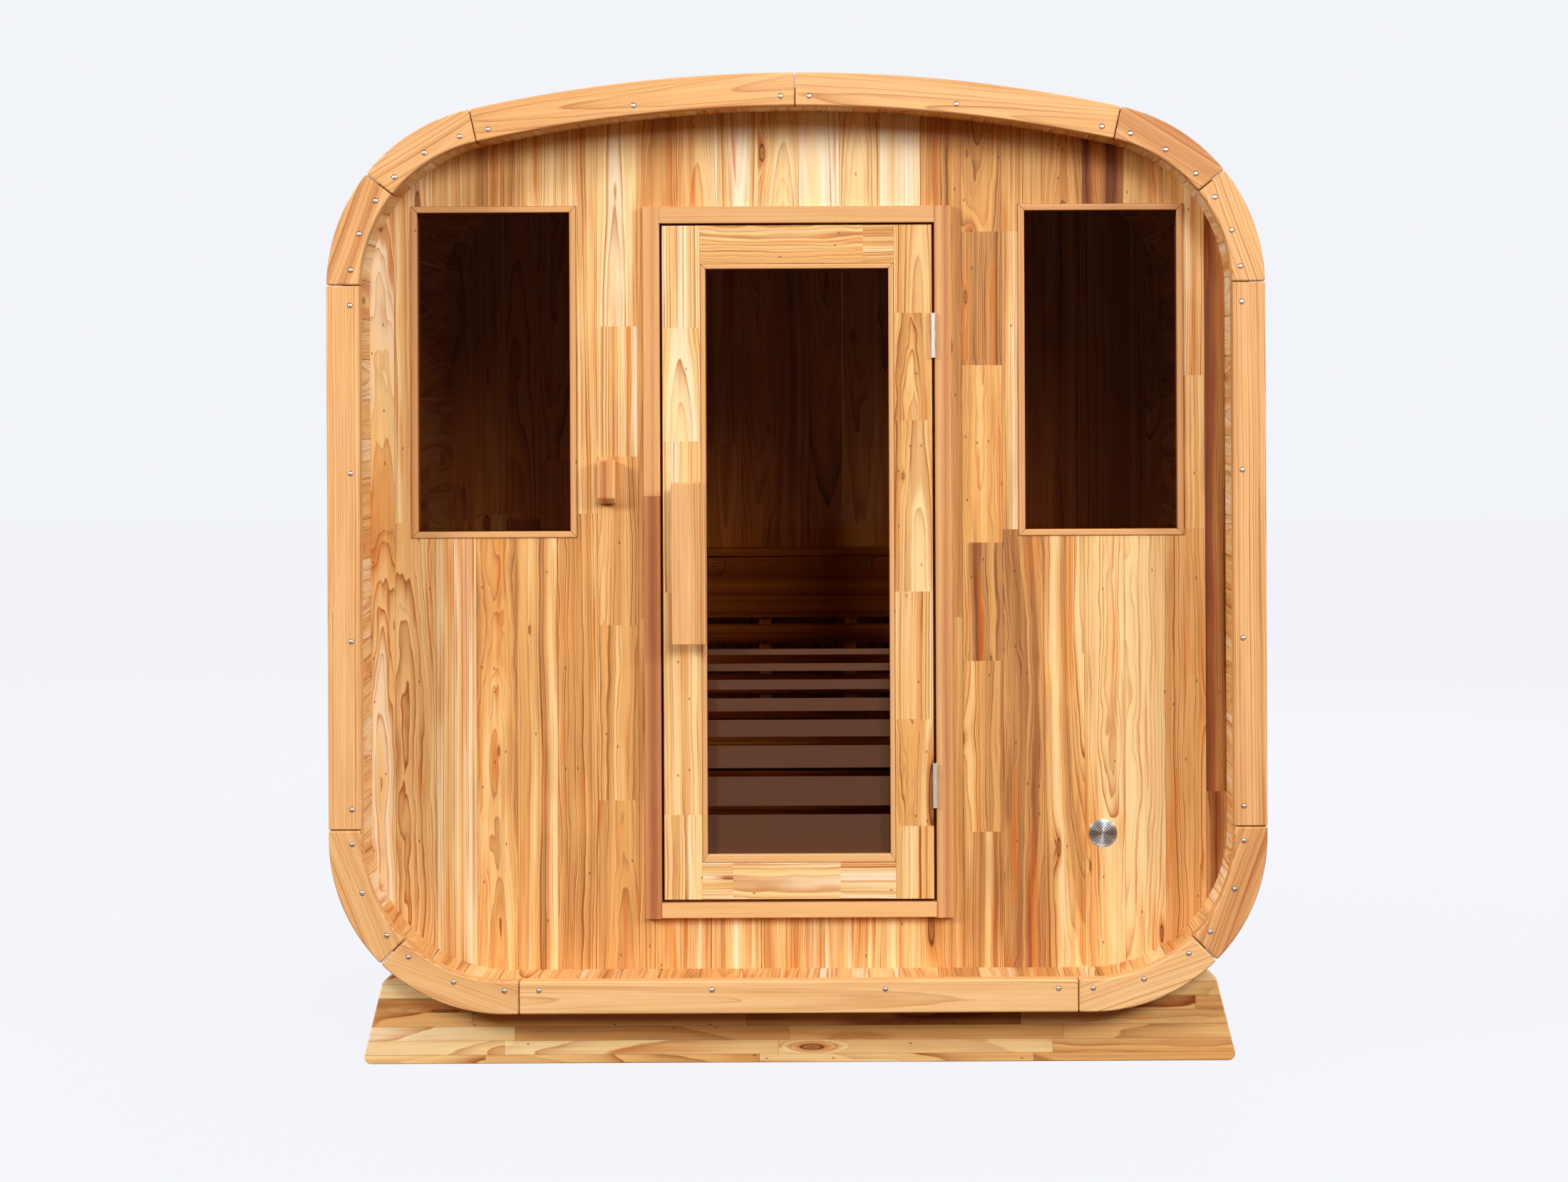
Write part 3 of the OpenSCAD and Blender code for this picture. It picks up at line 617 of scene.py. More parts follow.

# Painted shade: the staves' tone darkens towards the bottom, so the floor and the lowest parts of
# the sides are darker
for vertex, look in zip(staves.vertices, staves.attributes["look"].data):
    look.vector.x += PAINTED_SHADE_TONE * min(max((PAINTED_SHADE_TOP - vertex.co.z) / PAINTED_SHADE_FADE, 0), 1)
piece("staves", smoothed(staves), stave_wood, "stave_wood",
      "floor_staves", "side_staves_left", "side_staves_right", "roof_staves",
      "corner_staves_upper_left", "corner_staves_upper_right",
      "corner_staves_lower_left", "corner_staves_lower_right")


# ---- Rims ----
# Thirteen boards, 74 mm wide and 40 mm thick with rounded edges, frame each end of the cabin
# and cover the staves' ends. Steel screws with sunk heads hold them on.


# How a board is sawn from its log: the pith's place beside the board's middle and below it, its
# lean, and the rings' width
SAWN = {
    "fine": (0.160, 0.050, 0.004, 0.0034),
    "straight": (0.120, 0.050, 0.006, 0.0046),
    "wide": (0.080, 0.060, 0.010, 0.0063),
    "striped": (0.070, 0.065, 0.012, 0.0080),
    "tall": (0.006, 0.056, 0.020, 0.0070),
    "arched": (0.002, 0.050, 0.055, 0.0064),
    "half": (0.048, 0.048, 0.060, 0.0060),
}


class Boards:
    """Gathers boards into one mesh. Each keeps its own grain, place in the log and look."""

    def __init__(self, seed):
        self.chance = random.Random(seed)
        self.points, self.faces = [], []
        self.values = {"grain": [], "log": [], "look": [], "wild": []}

    def add(self, solid, along, across, tone, sawn, wild=1.0):
        """Adds a solid whose grain runs along one direction, with across as its face's width."""
        chance = self.chance
        along, across = Vector(along).normalized(), Vector(across).normalized()
        places = [vert.co for vert in solid.verts]
        low = Vector([min(place[i] for place in places) for i in range(3)])
        high = Vector([max(place[i] for place in places) for i in range(3)])
        centre = (low + high) / 2
        through = across.cross(along)
        if through.x * centre.x + through.y * centre.y > 0:
            through = -through
        beside, below, lean, ring = SAWN[sawn]
        cut = (chance.choice((-1, 1)) * beside * chance.uniform(0.85, 1.2) + chance.gauss(0, 0.006),
               below * chance.uniform(0.9, 1.15),
               chance.choice((-1, 1)) * lean * chance.uniform(0.7, 1.2))
        look = (tone, ring * chance.uniform(0.85, 1.2), chance.uniform(0, 40))
        first = len(self.points)
        solid.verts.index_update()
        for place in places:
            self.points.append(place[:])
            offset = place - centre
            self.values["grain"] += (offset.dot(across), offset.dot(through), offset.dot(along))
            self.values["log"] += cut
            self.values["look"] += look
            self.values["wild"] += (wild, wild, wild)
        for face in solid.faces:
            self.faces.append([first + vert.index for vert in face.verts])
        solid.free()

    def mesh(self, name):
        mesh = mesh_of(name, self.points, (), self.faces)
        for label, values in self.values.items():
            mesh.attributes.new(label, "FLOAT_VECTOR", "POINT").data.foreach_set("vector", values)
        return smoothed(mesh)


def prism(points, low, high, axis=1):
    """A solid from an outline in the two other axes, in order, between two places on an axis."""
    solid = bmesh.new()
    ends = []
    for place in (low, high):
        ring = []
        for point in points:
            corner = list(point)
            corner.insert(axis, place)
            ring.append(solid.verts.new(corner))
        ends.append(ring)
    solid.faces.new(ends[0])
    solid.faces.new(list(reversed(ends[1])))
    for i in range(len(points)):
        j = (i + 1) % len(points)
        solid.faces.new((ends[0][j], ends[0][i], ends[1][i], ends[1][j]))
    bmesh.ops.recalc_face_normals(solid, faces=solid.faces)
    return solid


def block(low, high):
    """A box from corner to corner."""
    return prism([(low[0], low[2]), (high[0], low[2]), (high[0], high[2]), (low[0], high[2])],
                 low[1], high[1])


SHARP_EDGE = math.radians(35)
NEARLY_ALONG = 0.98


def eased(solid, radius, segments=3, along=None):
    """The solid with its sharp edges rounded, or only those that run along one direction."""
    solid.normal_update()
    sharp = [edge for edge in solid.edges
             if edge.is_manifold and edge.calc_face_angle() > SHARP_EDGE]
    if along is not None:
        ways = [(edge.verts[0].co - edge.verts[1].co).normalized() for edge in sharp]
        sharp = [edge for edge, way in zip(sharp, ways)
                 if abs(way.dot(Vector(along))) > NEARLY_ALONG]
    bmesh.ops.bevel(solid, geom=sharp, offset=radius, segments=segments, profile=0.5,
                    affect="EDGES", clamp_overlap=True)
    return solid


RIM_EASE = 0.0045
RIM_JOINT = 0.002
RIM_EARLY = ((0.0, "F2BF86"), (0.6, "E8AF74"), (1.0, "C2794A"))
RIM_LATE = ((0.0, "BD7839"), (0.5, "AC6830"), (1.0, "985428"))
SIDE_LOW = 0.540
SIDE_HIGH = 1.758
BOTTOM_END = 0.626
SCREW_HEAD = 0.0055
SCREW_INSET = 0.021
SCREW_SUNK = 0.0004
SCREW_CLEARANCE = 0.0009
SCREW_HOLE_DEPTH = 0.004
# How many screws a straight board and a curved one have, and how far the last is from the end
STRAIGHT_SCREWS = (4, 0.044)
CURVED_SCREWS = (3, 0.031)

rim_wood = timber("rim_wood", RIM_EARLY, RIM_LATE, contrast=1.5, line=0.0013, wander=0.006,
                  knots=0.03, resin=0.15, smoke=0.10, drift=0.4, streaks=0.22, roughness=0.45)


def rim_edges(inset):
    """One edge of each right-hand rim board but the bottom's, from the crown round to the floor."""
    gap, side = RIM_JOINT / 2, HALF_WIDTH - inset
    crown, upper, lower = CROWN_RADIUS - inset, UPPER_RADIUS - inset, LOWER_RADIUS - inset
    top, rise = QUARTER_TURN - CROWN_ANGLE, SIDE_HIGH - UPPER_CENTRE.y
    side_top, side_bottom = Vector((side, SIDE_LOW + gap)), Vector((side, SIDE_LOW - gap))
    bottom_end = Vector((BOTTOM_END + gap, LOWER_CENTRE.y - lower))
    return [
        arc(CROWN_CENTRE, crown, QUARTER_TURN - gap / crown, top + gap / crown),
        arc(UPPER_CENTRE, upper, top - gap / upper, top / 2 + gap / upper),
        arc(UPPER_CENTRE, upper, top / 2 - gap / upper, math.asin((rise + gap) / upper)),
        arc(UPPER_CENTRE, upper, math.asin((rise - gap) / upper), 0) + [side_top],
        [side_bottom] + arc(LOWER_CENTRE, lower, 0, gap / lower - QUARTER_TURN / 2),
        arc(LOWER_CENTRE, lower, -QUARTER_TURN / 2 - gap / lower, -QUARTER_TURN) + [bottom_end],
    ]


def rim_boards():
    """Each board of a rim: its outer edge, its inner edge and the way out across it, in X and Z."""
    pairs = list(zip(rim_edges(0), rim_edges(ROOM_INSET)))
    pairs += [[[Vector((-point.x, point.y)) for point in edge] for edge in pair] for pair in pairs]
    half, base = BOTTOM_END - RIM_JOINT / 2, LOWER_CENTRE.y - LOWER_RADIUS
    pairs.append([[Vector((x, base + rise)) for x in (-half, half)] for rise in (0, ROOM_INSET)])
    for outer, inner in pairs:
        chord = (inner[-1] - inner[0]).normalized()
        out = Vector((chord.y, -chord.x))
        way = (outer[0] + outer[-1]) - (inner[0] + inner[-1])
        yield outer, inner, out if out.dot(way) > 0 else -out


def made_mesh(name, solid):
    """A new mesh of a bmesh solid."""
    mesh = bpy.data.meshes.new(name)
    solid.to_mesh(mesh)
    return mesh


def less(mesh, cutter_mesh, **settings):
    """The mesh with another cut out of it."""
    cutter = linked("cutter", cutter_mesh)
    cut = applied(mesh, BOOLEAN={"object": cutter, "operation": "DIFFERENCE", "solver": "EXACT",
                                 **settings})
    bpy.data.objects.remove(cutter)
    return cut


def drilled(solid, holes, low, high):
    """The solid with round holes along Y, each a point in X and Z with a radius."""
    drills = bmesh.new()
    for centre, radius in holes:
        bmesh.ops.create_cone(
            drills, cap_ends=True, segments=24, radius1=radius, radius2=radius, depth=high - low,
            matrix=Matrix.Translation((centre.x, (low + high) / 2, centre.y))
            @ Matrix.Rotation(QUARTER_TURN, 4, "X"))
    cut = less(made_mesh("drilled", solid), made_mesh("drills", drills))
    solid.clear()
    solid.from_mesh(cut)
    return solid


def rim_screws(inner, out):
    """Places for a rim board's screws in X and Z, in a row along its inner edge."""
    steps = [(b - a).length for a, b in zip(inner, inner[1:])]
    length, places = sum(steps), []
    count, ends = STRAIGHT_SCREWS if abs(out.x * out.y) < 0.01 else CURVED_SCREWS
    for number in range(count):
        travel = ends + (length - 2 * ends) * number / (count - 1)
        for a, b, step in zip(inner, inner[1:], steps):
            if travel <= step:
                way = (b - a) / step
                side = Vector((-way.y, way.x))
                side = side if side.dot(out) > 0 else -side
                places.append(a + way * travel + side * SCREW_INSET)
                break
            travel -= step
    return places


screw_places = []
for end, seed in (("front", 3), ("back", 8)):
    low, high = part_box(end + "_rim_bottom")
    face, inward = (low.y, 1) if end == "front" else (high.y, -1)
    boards = Boards(seed)
    for outer, inner, out in rim_boards():
        holes = rim_screws(inner, out)
        screw_places += [((hole.x, face + SCREW_SUNK * inward, hole.y), (0, -inward, 0))
                         for hole in holes]
        board = eased(prism(outer + inner[::-1], low.y, high.y), RIM_EASE)
        board = drilled(board, [(hole, SCREW_HEAD + SCREW_CLEARANCE) for hole in holes],
                        face - SCREW_HOLE_DEPTH, face + SCREW_HOLE_DEPTH)
        sawn = "tall" if abs(out.y) > 0.99 else boards.chance.choice(("straight", "fine", "wide"))
        # Painted light and shade: the bottom board is made the palest, and the crown's two darker
        # than chance makes them, because the lamps light the crown more than the bottom
        tone = boards.chance.uniform(0.2, 0.75) if out.y > -0.9 else 0.05
        tone += 0.2 if out.y > 0.9 else 0.0
        boards.add(board, (out.y, 0, -out.x), (out.x, 0, out.y), tone, sawn)
    parts = ("top", "sides", "bottom", "corners_left", "corners_right")
    piece(end + "_rim", boards.mesh(end + "_rim"), rim_wood, "rim_wood",
          *(f"{end}_rim_{part}" for part in parts))


# ---- Screws ----
# Stainless steel screws with low domed heads and cross slots sit in shallow holes in the rims.
# The same heads in darker steel are used on the backrest.


def steel(name, tone="D9DCE0", rough=0.34, metallic=1.0):
    """Stainless steel, with fine scratches along X."""
    f = Finish(name)
    place = f.place()
    scratches = f.noise(place, (90, 900, 900), 2.0)
    smudges = f.noise(place, (60, 60, 60), 2.0)
    bump = f.result("ShaderNodeBump", Height=scratches, Strength=0.1, Distance=0.0002)
    return f.painted(Base_Color=f.blend(smudges, colour(tone), colour("E8EAED")),
                     Roughness=scratches * 0.10 + (smudges * 0.1 + (rough - 0.1)),
                     Metallic=metallic, Normal=bump)


stainless = steel("stainless_steel")


def lathed(profile, steps):
    """A closed solid turned about Z from a profile of radius and height."""
    solid = bmesh.new()
    rings = []
    for radius, height in profile:
        if radius == 0:
            rings.append([solid.verts.new((0, 0, height))])
        else:
            turns = [2 * math.pi * i / steps for i in range(steps)]
            rings.append([solid.verts.new((radius * math.cos(t), radius * math.sin(t), height))
                          for t in turns])
    for a, b in zip(rings, rings[1:]):
        for i in range(steps):
            j = (i + 1) % steps
            corners = [a[i % len(a)], a[j % len(a)], b[j % len(b)], b[i % len(b)]]
            solid.faces.new(list(dict.fromkeys(corners)))
    bmesh.ops.recalc_face_normals(solid, faces=solid.faces)
    return solid


head = lathed([(0, -0.0026), (SCREW_HEAD, -0.0026), (SCREW_HEAD, -0.0016), (0.0048, -0.0007),
               (0.0034, -0.0002), (0.0020, 0.0), (0, 0.0)], 20)
slot = bmesh.new()
for turn in (0, QUARTER_TURN):
    bmesh.ops.create_cube(slot, size=1, matrix=Matrix.Rotation(turn, 4, "Z")
                          @ Matrix.Diagonal((0.0052, 0.0011, 0.0030, 1)))
head_holder = linked("screw_head", less(made_mesh("screw_head", head), made_mesh("slot", slot),
                                        use_self=True))

scatter = Tree("screws", Head="Object", Seed="Int", Material="Material")
heads = scatter.result("GeometryNodeObjectInfo", output="Geometry", Object=scatter.given["Head"])
aim = scatter.result("FunctionNodeAlignRotationToVector", {"axis": "Z"},
                     Vector=scatter.attribute("facing"))
turned = scatter.chance("FLOAT", 0.0, 3.14, Seed=scatter.given["Seed"])
spin = scatter.result("FunctionNodeEulerToRotation", Euler=scatter.vector(z=turned))
spun = scatter.result("FunctionNodeRotateRotation", {"rotation_space": "LOCAL"}, Rotation=aim,
                      Rotate_By=spin)
scatter.finish(scatter.result("GeometryNodeInstanceOnPoints", Points=scatter.given["Geometry"],
                              Instance=heads, Rotation=spun))


def screws(name, places, seed, metal=stainless):
    """Screw heads at points that each face one way."""
    mesh = mesh_of(name, [place for place, facing in places])
    values = [number for place, facing in places for number in facing]
    mesh.attributes.new("facing", "FLOAT_VECTOR", "POINT").data.foreach_set("vector", values)
    made = scatter.made(mesh, Head=head_holder, Seed=seed, Material=metal)
    piece(name, smoothed(made, 35), metal, "stainless_steel")


screws("rim_screws", screw_places, 2)


# ---- Front wall ----
# Vertical softwood boards, 92.5 mm wide and 44 mm thick, stand edge to edge across the cabin and
# are cut to its outline. Each is glued up from blocks that were joined end to end.
WALL_PITCH = 0.0925
WALL_START = -0.920
WALL_SEAM = 0.0004
WALL_EASE = 0.0005
DRILL_PAST = 0.01
VENT_HOLE = 0.028
BEYOND = 9  # past the end of any board
UPRIGHT = ((0, 0, 1), (1, 0, 0))  # which way a board's grain and its face's width run
# Boards from left to right, each with its blocks from the top down: the height of the block's
# lower end, its tone from cream to dark, how it is sawn and how wild its grain is
FRONT_BOARDS = (
    [(0, 0.20, "arched", 1.7)],
    [(1.22, 0.12, "wide", 0.9), (0, 0.21, "tall", 1.5)],
    [(1.40, 0.24, "straight", 0.8), (0, 0.13, "straight", 0.3)],
    [(1.50, 0.36, "straight", 1.0), (0, 0.42, "tall", 1.8)],
    [(1.45, 0.27, "wide", 0.9), (0, 0.37, "straight", 1.0)],
    [(1.24, 0.22, "straight", 0.8), (0, 0.43, "straight", 1.4)],
    [(1.667, 0.08, "tall", 0.8), (1.37, 0.20, "wide", 0.8), (0.985, 0.36, "wide", 1.3),
     (0.585, 0.42, "wide", 1.4), (0, 0.51, "arched", 1.3)],
    [(1.0, 0.38, "arched", 1.2), (0, 0.34, "wide", 1.0)],
    [(1.0, 0.20, "arched", 0.8), (0, 0.26, "fine", 1.0)],
    [(1.0, 0.03, "tall", 0.2), (0, 0.24, "straight", 1.0)],
    [(1.0, 0.14, "arched", 0.8), (0, 0.37, "wide", 1.0)],
    [(1.0, 0.00, "tall", 0.4), (0, 0.18, "fine", 1.0)],
    [(1.0, 0.14, "arched", 0.9), (0, 0.24, "straight", 1.0)],
    [(1.0, 0.07, "wide", 0.7), (0, 0.21, "wide", 1.0)],
    [(1.0, 0.50, "straight", 1.5), (0, 0.36, "straight", 1.2)],
    [(1.88, 0.44, "arched", 1.3), (1.575, 0.56, "straight", 1.0), (1.17, 0.40, "arched", 1.8),
     (0.90, 0.62, "wide", 1.6), (0.51, 0.48, "wide", 1.5), (0, 0.46, "fine", 0.8)],
    [(1.88, 0.36, "straight", 0.8), (1.20, 0.20, "straight", 0.8), (0, 0.66, "wide", 1.8)],
    [(1.45, 0.48, "arched", 1.0), (0, 0.34, "half", 1.2)],
    [(1.50, 0.76, "wide", 1.4), (0, 0.20, "tall", 1.4)],
    [(1.35, 0.40, "arched", 1.8), (0, 0.17, "striped", 1.5)],
    [(1.55, 0.28, "straight", 0.9), (1.20, 0.24, "straight", 0.9), (0, 0.34, "straight", 1.4)],
    [(0.60, 0.84, "wide", 1.0), (0, 0.62, "wide", 1.4)],
)
ROOM_HALF = HALF_WIDTH - ROOM_INSET
room = shell(ROOM_INSET)


def room_end(x, top):
    """The height where the room's outline crosses x, at the top or the bottom."""
    x = abs(x)
    if top:
        reach = (CROWN_RADIUS - ROOM_INSET) * math.sin(CROWN_ANGLE)
        centre, radius = (CROWN_CENTRE, CROWN_RADIUS) if x < reach else (UPPER_CENTRE, UPPER_RADIUS)
        rise = math.sqrt(max(0, (radius - ROOM_INSET) ** 2 - (x - centre.x) ** 2))
        return centre.y + rise
    radius = LOWER_RADIUS - ROOM_INSET
    return LOWER_CENTRE.y - math.sqrt(max(0, radius ** 2 - max(0, x - LOWER_CENTRE.x) ** 2))


def room_edge(x0, x1, top):
    """The room's outline between two places, left to right."""
    middle = (UPPER_CENTRE.y + LOWER_CENTRE.y) / 2
    inner = sorted(point.x for point in room if x0 < point.x < x1 and (point.y > middle) == top)
    return [(x, room_end(x, top)) for x in [x0] + inner + [x1]]


def board_side(x, low, high, opening):
    """A board's side edge going up, stepped in where an opening cuts it."""
    edge, bottom, top = opening
    points = [(x, low) if low < bottom or low > top else (edge, low)]
    if low < bottom < high:
        points += [(x, bottom), (edge, bottom)]
    if low < top < high:
        points += [(edge, top), (x, top)]
    return points + [(x, high) if high < bottom or high > top else (edge, high)]


def wall_block(x0, x1, low, high, openings):
    """A block's outlines, between two heights or up to the room's outline, less the openings."""
    left, right = (x0, BEYOND, BEYOND), (x1, BEYOND, BEYOND)
    for a, b, bottom, top in openings:
        if a <= x0 and x1 <= b:
            spans = [(low, bottom), (top, high)]
            return [outline for span in spans if span[0] < span[1]
                    for outline in wall_block(x0, x1, *span, [])]
        if a < x1 < b:
            right = (a, bottom, top)
        if a < x0 < b:
            left = (b, bottom, top)
    lower = room_edge(x0, x1, False)
    if low > max(lower[0][1], lower[-1][1]):
        lower = [(x0, low), (x1, low)]
    upper = room_edge(x0, x1, True)
    if high < min(upper[0][1], upper[-1][1]):
        upper = [(x0, high), (x1, high)]
    up_right = board_side(x1, lower[-1][1], upper[-1][1], right)
    up_left = board_side(x0, lower[0][1], upper[0][1], left)
    return [lower[1:-1] + up_right + upper[-2:0:-1] + up_left[::-1]]


def wall(boards, specs, face, back, openings, holes=()):
    """Fills the room's outline with boards, each from its list of blocks."""
    for number, blocks in enumerate(specs):
        x0 = max(-ROOM_HALF, WALL_START + (number - 1) * WALL_PITCH) + WALL_SEAM / 2
        x1 = min(ROOM_HALF, WALL_START + number * WALL_PITCH) - WALL_SEAM / 2
        high = BEYOND
        for low, tone, sawn, wild in blocks:
            for outline in wall_block(x0, x1, low, high, openings):
                solid = eased(prism(outline, face, back), WALL_EASE, 1, along=(0, 0, 1))
                for centre, radius in holes:
                    if x0 < centre.x < x1 and low < centre.y < high:
                        solid = drilled(solid, [(centre, radius)], face - DRILL_PAST,
                                        back + DRILL_PAST)
                boards.add(solid, *UPRIGHT, tone, sawn, wild)
            high = low


wall_low, wall_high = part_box("front_wall_left")
windows = [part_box("window_frame_left"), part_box("window_frame_right")]
jamb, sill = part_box("door_jamb_right"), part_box("door_sill")
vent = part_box("vent_grille")
VENT_CENTRE = Vector(((vent[0].x + vent[1].x) / 2, (vent[0].z + vent[1].z) / 2))
openings = [(low.x, high.x, low.z, high.z) for low, high in windows]
openings.append((-jamb[1].x, jamb[1].x, jamb[0].z, jamb[1].z))
wall_wood = timber("wall_wood", contrast=1.2)
boards = Boards(21)
wall(boards, FRONT_BOARDS, wall_low.y, wall_high.y, openings, [(VENT_CENTRE, VENT_HOLE)])
piece("front_wall", boards.mesh("front_wall"), wall_wood, "wall_wood",
      "front_wall_left", "front_wall_right", "front_wall_over_door", "front_wall_under_door")


# ---- Back wall ----
# The same vertical boards close the other end without a door or window. Their blocks come as
# they fall.
boards = Boards(33)
back_boards = []
for number in range(len(FRONT_BOARDS)):
    tone = boards.chance.uniform(0.10, 0.42)
    heights = (boards.chance.uniform(0.6, 1.5), 0)
    back_boards.append([(height, tone + boards.chance.uniform(-0.08, 0.08),
                         boards.chance.choice(("wide", "straight", "tall", "arched", "fine")),
                         boards.chance.uniform(0.7, 1.5)) for height in heights])
back_low, back_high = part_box("back_wall")
wall(boards, back_boards, back_low.y, back_high.y, [])
piece("back_wall", boards.mesh("back_wall"), wall_wood, "wall_wood", "back_wall")


# ---- Door frame ----
# Two jambs, a head and a sill of reddish softwood stand 18 mm proud of the wall, the sill a
# little more. The jambs and the head carry a stop that the leaf closes against.
FRAME_EARLY = ((0.0, "EAB77D"), (0.4, "DBA06A"), (0.7, "C78455"), (1.0, "A96640"))
FRAME_LATE = ((0.0, "C98A4C"), (0.4, "B5723D"), (0.7, "9F5C31"), (1.0, "7F4525"))
FRAME_EASE = 0.0015
PLATE_REVEAL = 0.0003
STOP_WIDTH = 0.018
LEVEL = ((1, 0, 0), (0, 0, 1))
# Blocks of the jambs from the top down, each with the height of its lower end and its tone
LEFT_JAMB = ((1.28, 0.36), (0, 0.88))
RIGHT_JAMB = ((0, 0.48),)

frame_wood = timber("frame_wood", FRAME_EARLY, FRAME_LATE, contrast=0.5, line=0.0007,
                    wander=0.003, knots=0.02, resin=0.1, smoke=0.15, drift=0.3, streaks=0.12,
                    roughness=0.42)
opening_half = sill[1].x
head_low, head_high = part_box("door_head")
leaf_low, leaf_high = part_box("door_stile_left")[0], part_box("door_stile_right")[1]
stop_face = leaf_high.y + (opening_half - leaf_high.x)
boards = Boards(41)
for side, blocks in ((-1, LEFT_JAMB), (1, RIGHT_JAMB)):
    high = jamb[1].z
    for low, tone in blocks:
        low = max(low, jamb[0].z)
        inner, outer = side * (opening_half + PLATE_REVEAL), side * jamb[1].x
        solid = block((min(inner, outer), jamb[0].y, low), (max(inner, outer), jamb[1].y, high))
        boards.add(eased(solid, FRAME_EASE, along=(0, 0, 1)), *UPRIGHT, tone, "fine")
        high = low
    stop = sorted((side * opening_half, side * (opening_half - STOP_WIDTH)))
    solid = block((stop[0], stop_face, sill[1].z), (stop[1], jamb[1].y, head_low.z + STOP_WIDTH))
    boards.add(eased(solid, FRAME_EASE, along=(0, 0, 1)), *UPRIGHT, 0.5, "fine")
stop_half, stop_top = opening_half - STOP_WIDTH, head_low.z + STOP_WIDTH
for half, face, back, bottom, top, tone, sawn in (
        (opening_half, head_low.y, head_high.y, stop_top, head_high.z, 0.24, "fine"),
        (stop_half, stop_face, head_high.y, head_low.z, stop_top, 0.4, "fine"),
        (opening_half, sill[0].y, sill[1].y, sill[0].z, sill[1].z, 0.08, "straight")):
    solid = block((-half, face, bottom), (half, back, top))
    boards.add(eased(solid, FRAME_EASE), *LEVEL, tone, sawn)
piece("door_frame", boards.mesh("door_frame"), frame_wood, "frame_wood",
      "door_jamb_left", "door_jamb_right", "door_head", "door_sill")


# ---- Door leaf ----
# Two stiles and two rails of knotty softwood, 40 mm thick and finger-jointed from short
# blocks, hold the pane in a mitred bead.
LEAF_EASE = 0.0012
# Blocks of the stiles from the top down, each with the height of its lower end, and of the
# rails from left to right, each with the place of its right end, then tone, sawing and grain
LEFT_STILE = ((1.663, 0.14, "wide", 0.6), (1.404, 0.22, "arched", 1.2), (1.06, 0.16, "wide", 1.0),
              (0.553, 0.22, "wide", 1.3), (0, 0.24, "striped", 1.6))
RIGHT_STILE = ((1.695, 0.26, "tall", 1.0), (1.45, 0.36, "arched", 2.2), (1.06, 0.34, "tall", 1.6),
               (0.769, 0.24, "wide", 1.0), (0.526, 0.36, "arched", 2.4), (0, 0.30, "striped", 1.0))
TOP_RAIL = ((0.151, 0.30, "striped", 1.8), (BEYOND, 0.28, "straight", 1.0))
BOTTOM_RAIL = ((-0.151, 0.12, "wide", 1.0), (0.094, 0.04, "tall", 1.6),
               (BEYOND, 0.08, "wide", 1.0))

door_wood = timber("door_wood", contrast=1.4, line=0.0022, smoke=0.12, resin=0.5, drift=0.24,
                   wander=0.009, streaks=0.25)
rails_low, rails_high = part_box("door_rails")
bead_low, bead_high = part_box("door_bead")
boards = Boards(57)
for side, blocks in ((-1, LEFT_STILE), (1, RIGHT_STILE)):
    inner, outer = sorted((side * rails_high.x, side * (leaf_high.x - PLATE_REVEAL)))
    high = leaf_high.z
    for low, tone, sawn, wild in blocks:
        low = max(low, leaf_low.z)
        solid = block((inner, leaf_low.y, low), (outer, leaf_high.y, high))
        boards.add(eased(solid, LEAF_EASE, 2, along=(0, 0, 1)), *UPRIGHT, tone, sawn, wild)
        high = low
for low_z, high_z, blocks in ((leaf_low.z, bead_low.z, BOTTOM_RAIL),
                              (bead_high.z, leaf_high.z, TOP_RAIL)):
    left = rails_low.x
    for right, tone, sawn, wild in blocks:
        right = min(right, rails_high.x)
        solid = block((left, leaf_low.y, low_z), (right, leaf_high.y, high_z))
        boards.add(eased(solid, LEAF_EASE, 2, along=(1, 0, 0)), *LEVEL, tone, sawn, wild)
        left = right
piece("door_leaf", boards.mesh("door_leaf"), door_wood, "door_wood",
      "door_stile_left", "door_stile_right", "door_rails", body="door")


# ---- Beads and panes ----
# Mitred beads hold a pane of brown tinted safety glass in the door and in each window. The
# door's pane has bands of brown film across its lower half.
BEAD_PROUD = 0.0015
BEAD_EASE = 0.0022
BEAD_GAP = Vector((0.0006, 0, 0.0006))
DOOR_BEAD = 0.012
DOOR_BEAD_BOTTOM = 0.0195
WINDOW_BEAD = 0.015
FILM_THICK = 0.0003
FILM_BANDS = 8
FILM_LOWEST = 0.4632
FILM_HEIGHT = 0.088
FILM_TAPER = 0.76
FILM_GAP = 0.020


def mitred(boards, low, high, widths, face, back, groove, tones):
    """Four mitred beads round an opening, grooved for the pane: widths are side, top and bottom."""
    low, high = low + BEAD_GAP, high - BEAD_GAP
    wide, top, bottom = [width - BEAD_GAP.x for width in widths]
    corners = [(low.x, low.z), (high.x, low.z), (high.x, high.z), (low.x, high.z)]
    inside = [(low.x + wide, low.z + bottom), (high.x - wide, low.z + bottom),
              (high.x - wide, high.z - top), (low.x + wide, high.z - top)]
    for i, tone in enumerate(tones):
        j = (i + 1) % 4
        for y0, y1 in ((face, groove[0]), (groove[1], back)):
            solid = prism([corners[i], corners[j], inside[j], inside[i]], y0, y1)
            boards.add(eased(solid, BEAD_EASE, 2), *(UPRIGHT if i % 2 else LEVEL), tone, "fine")


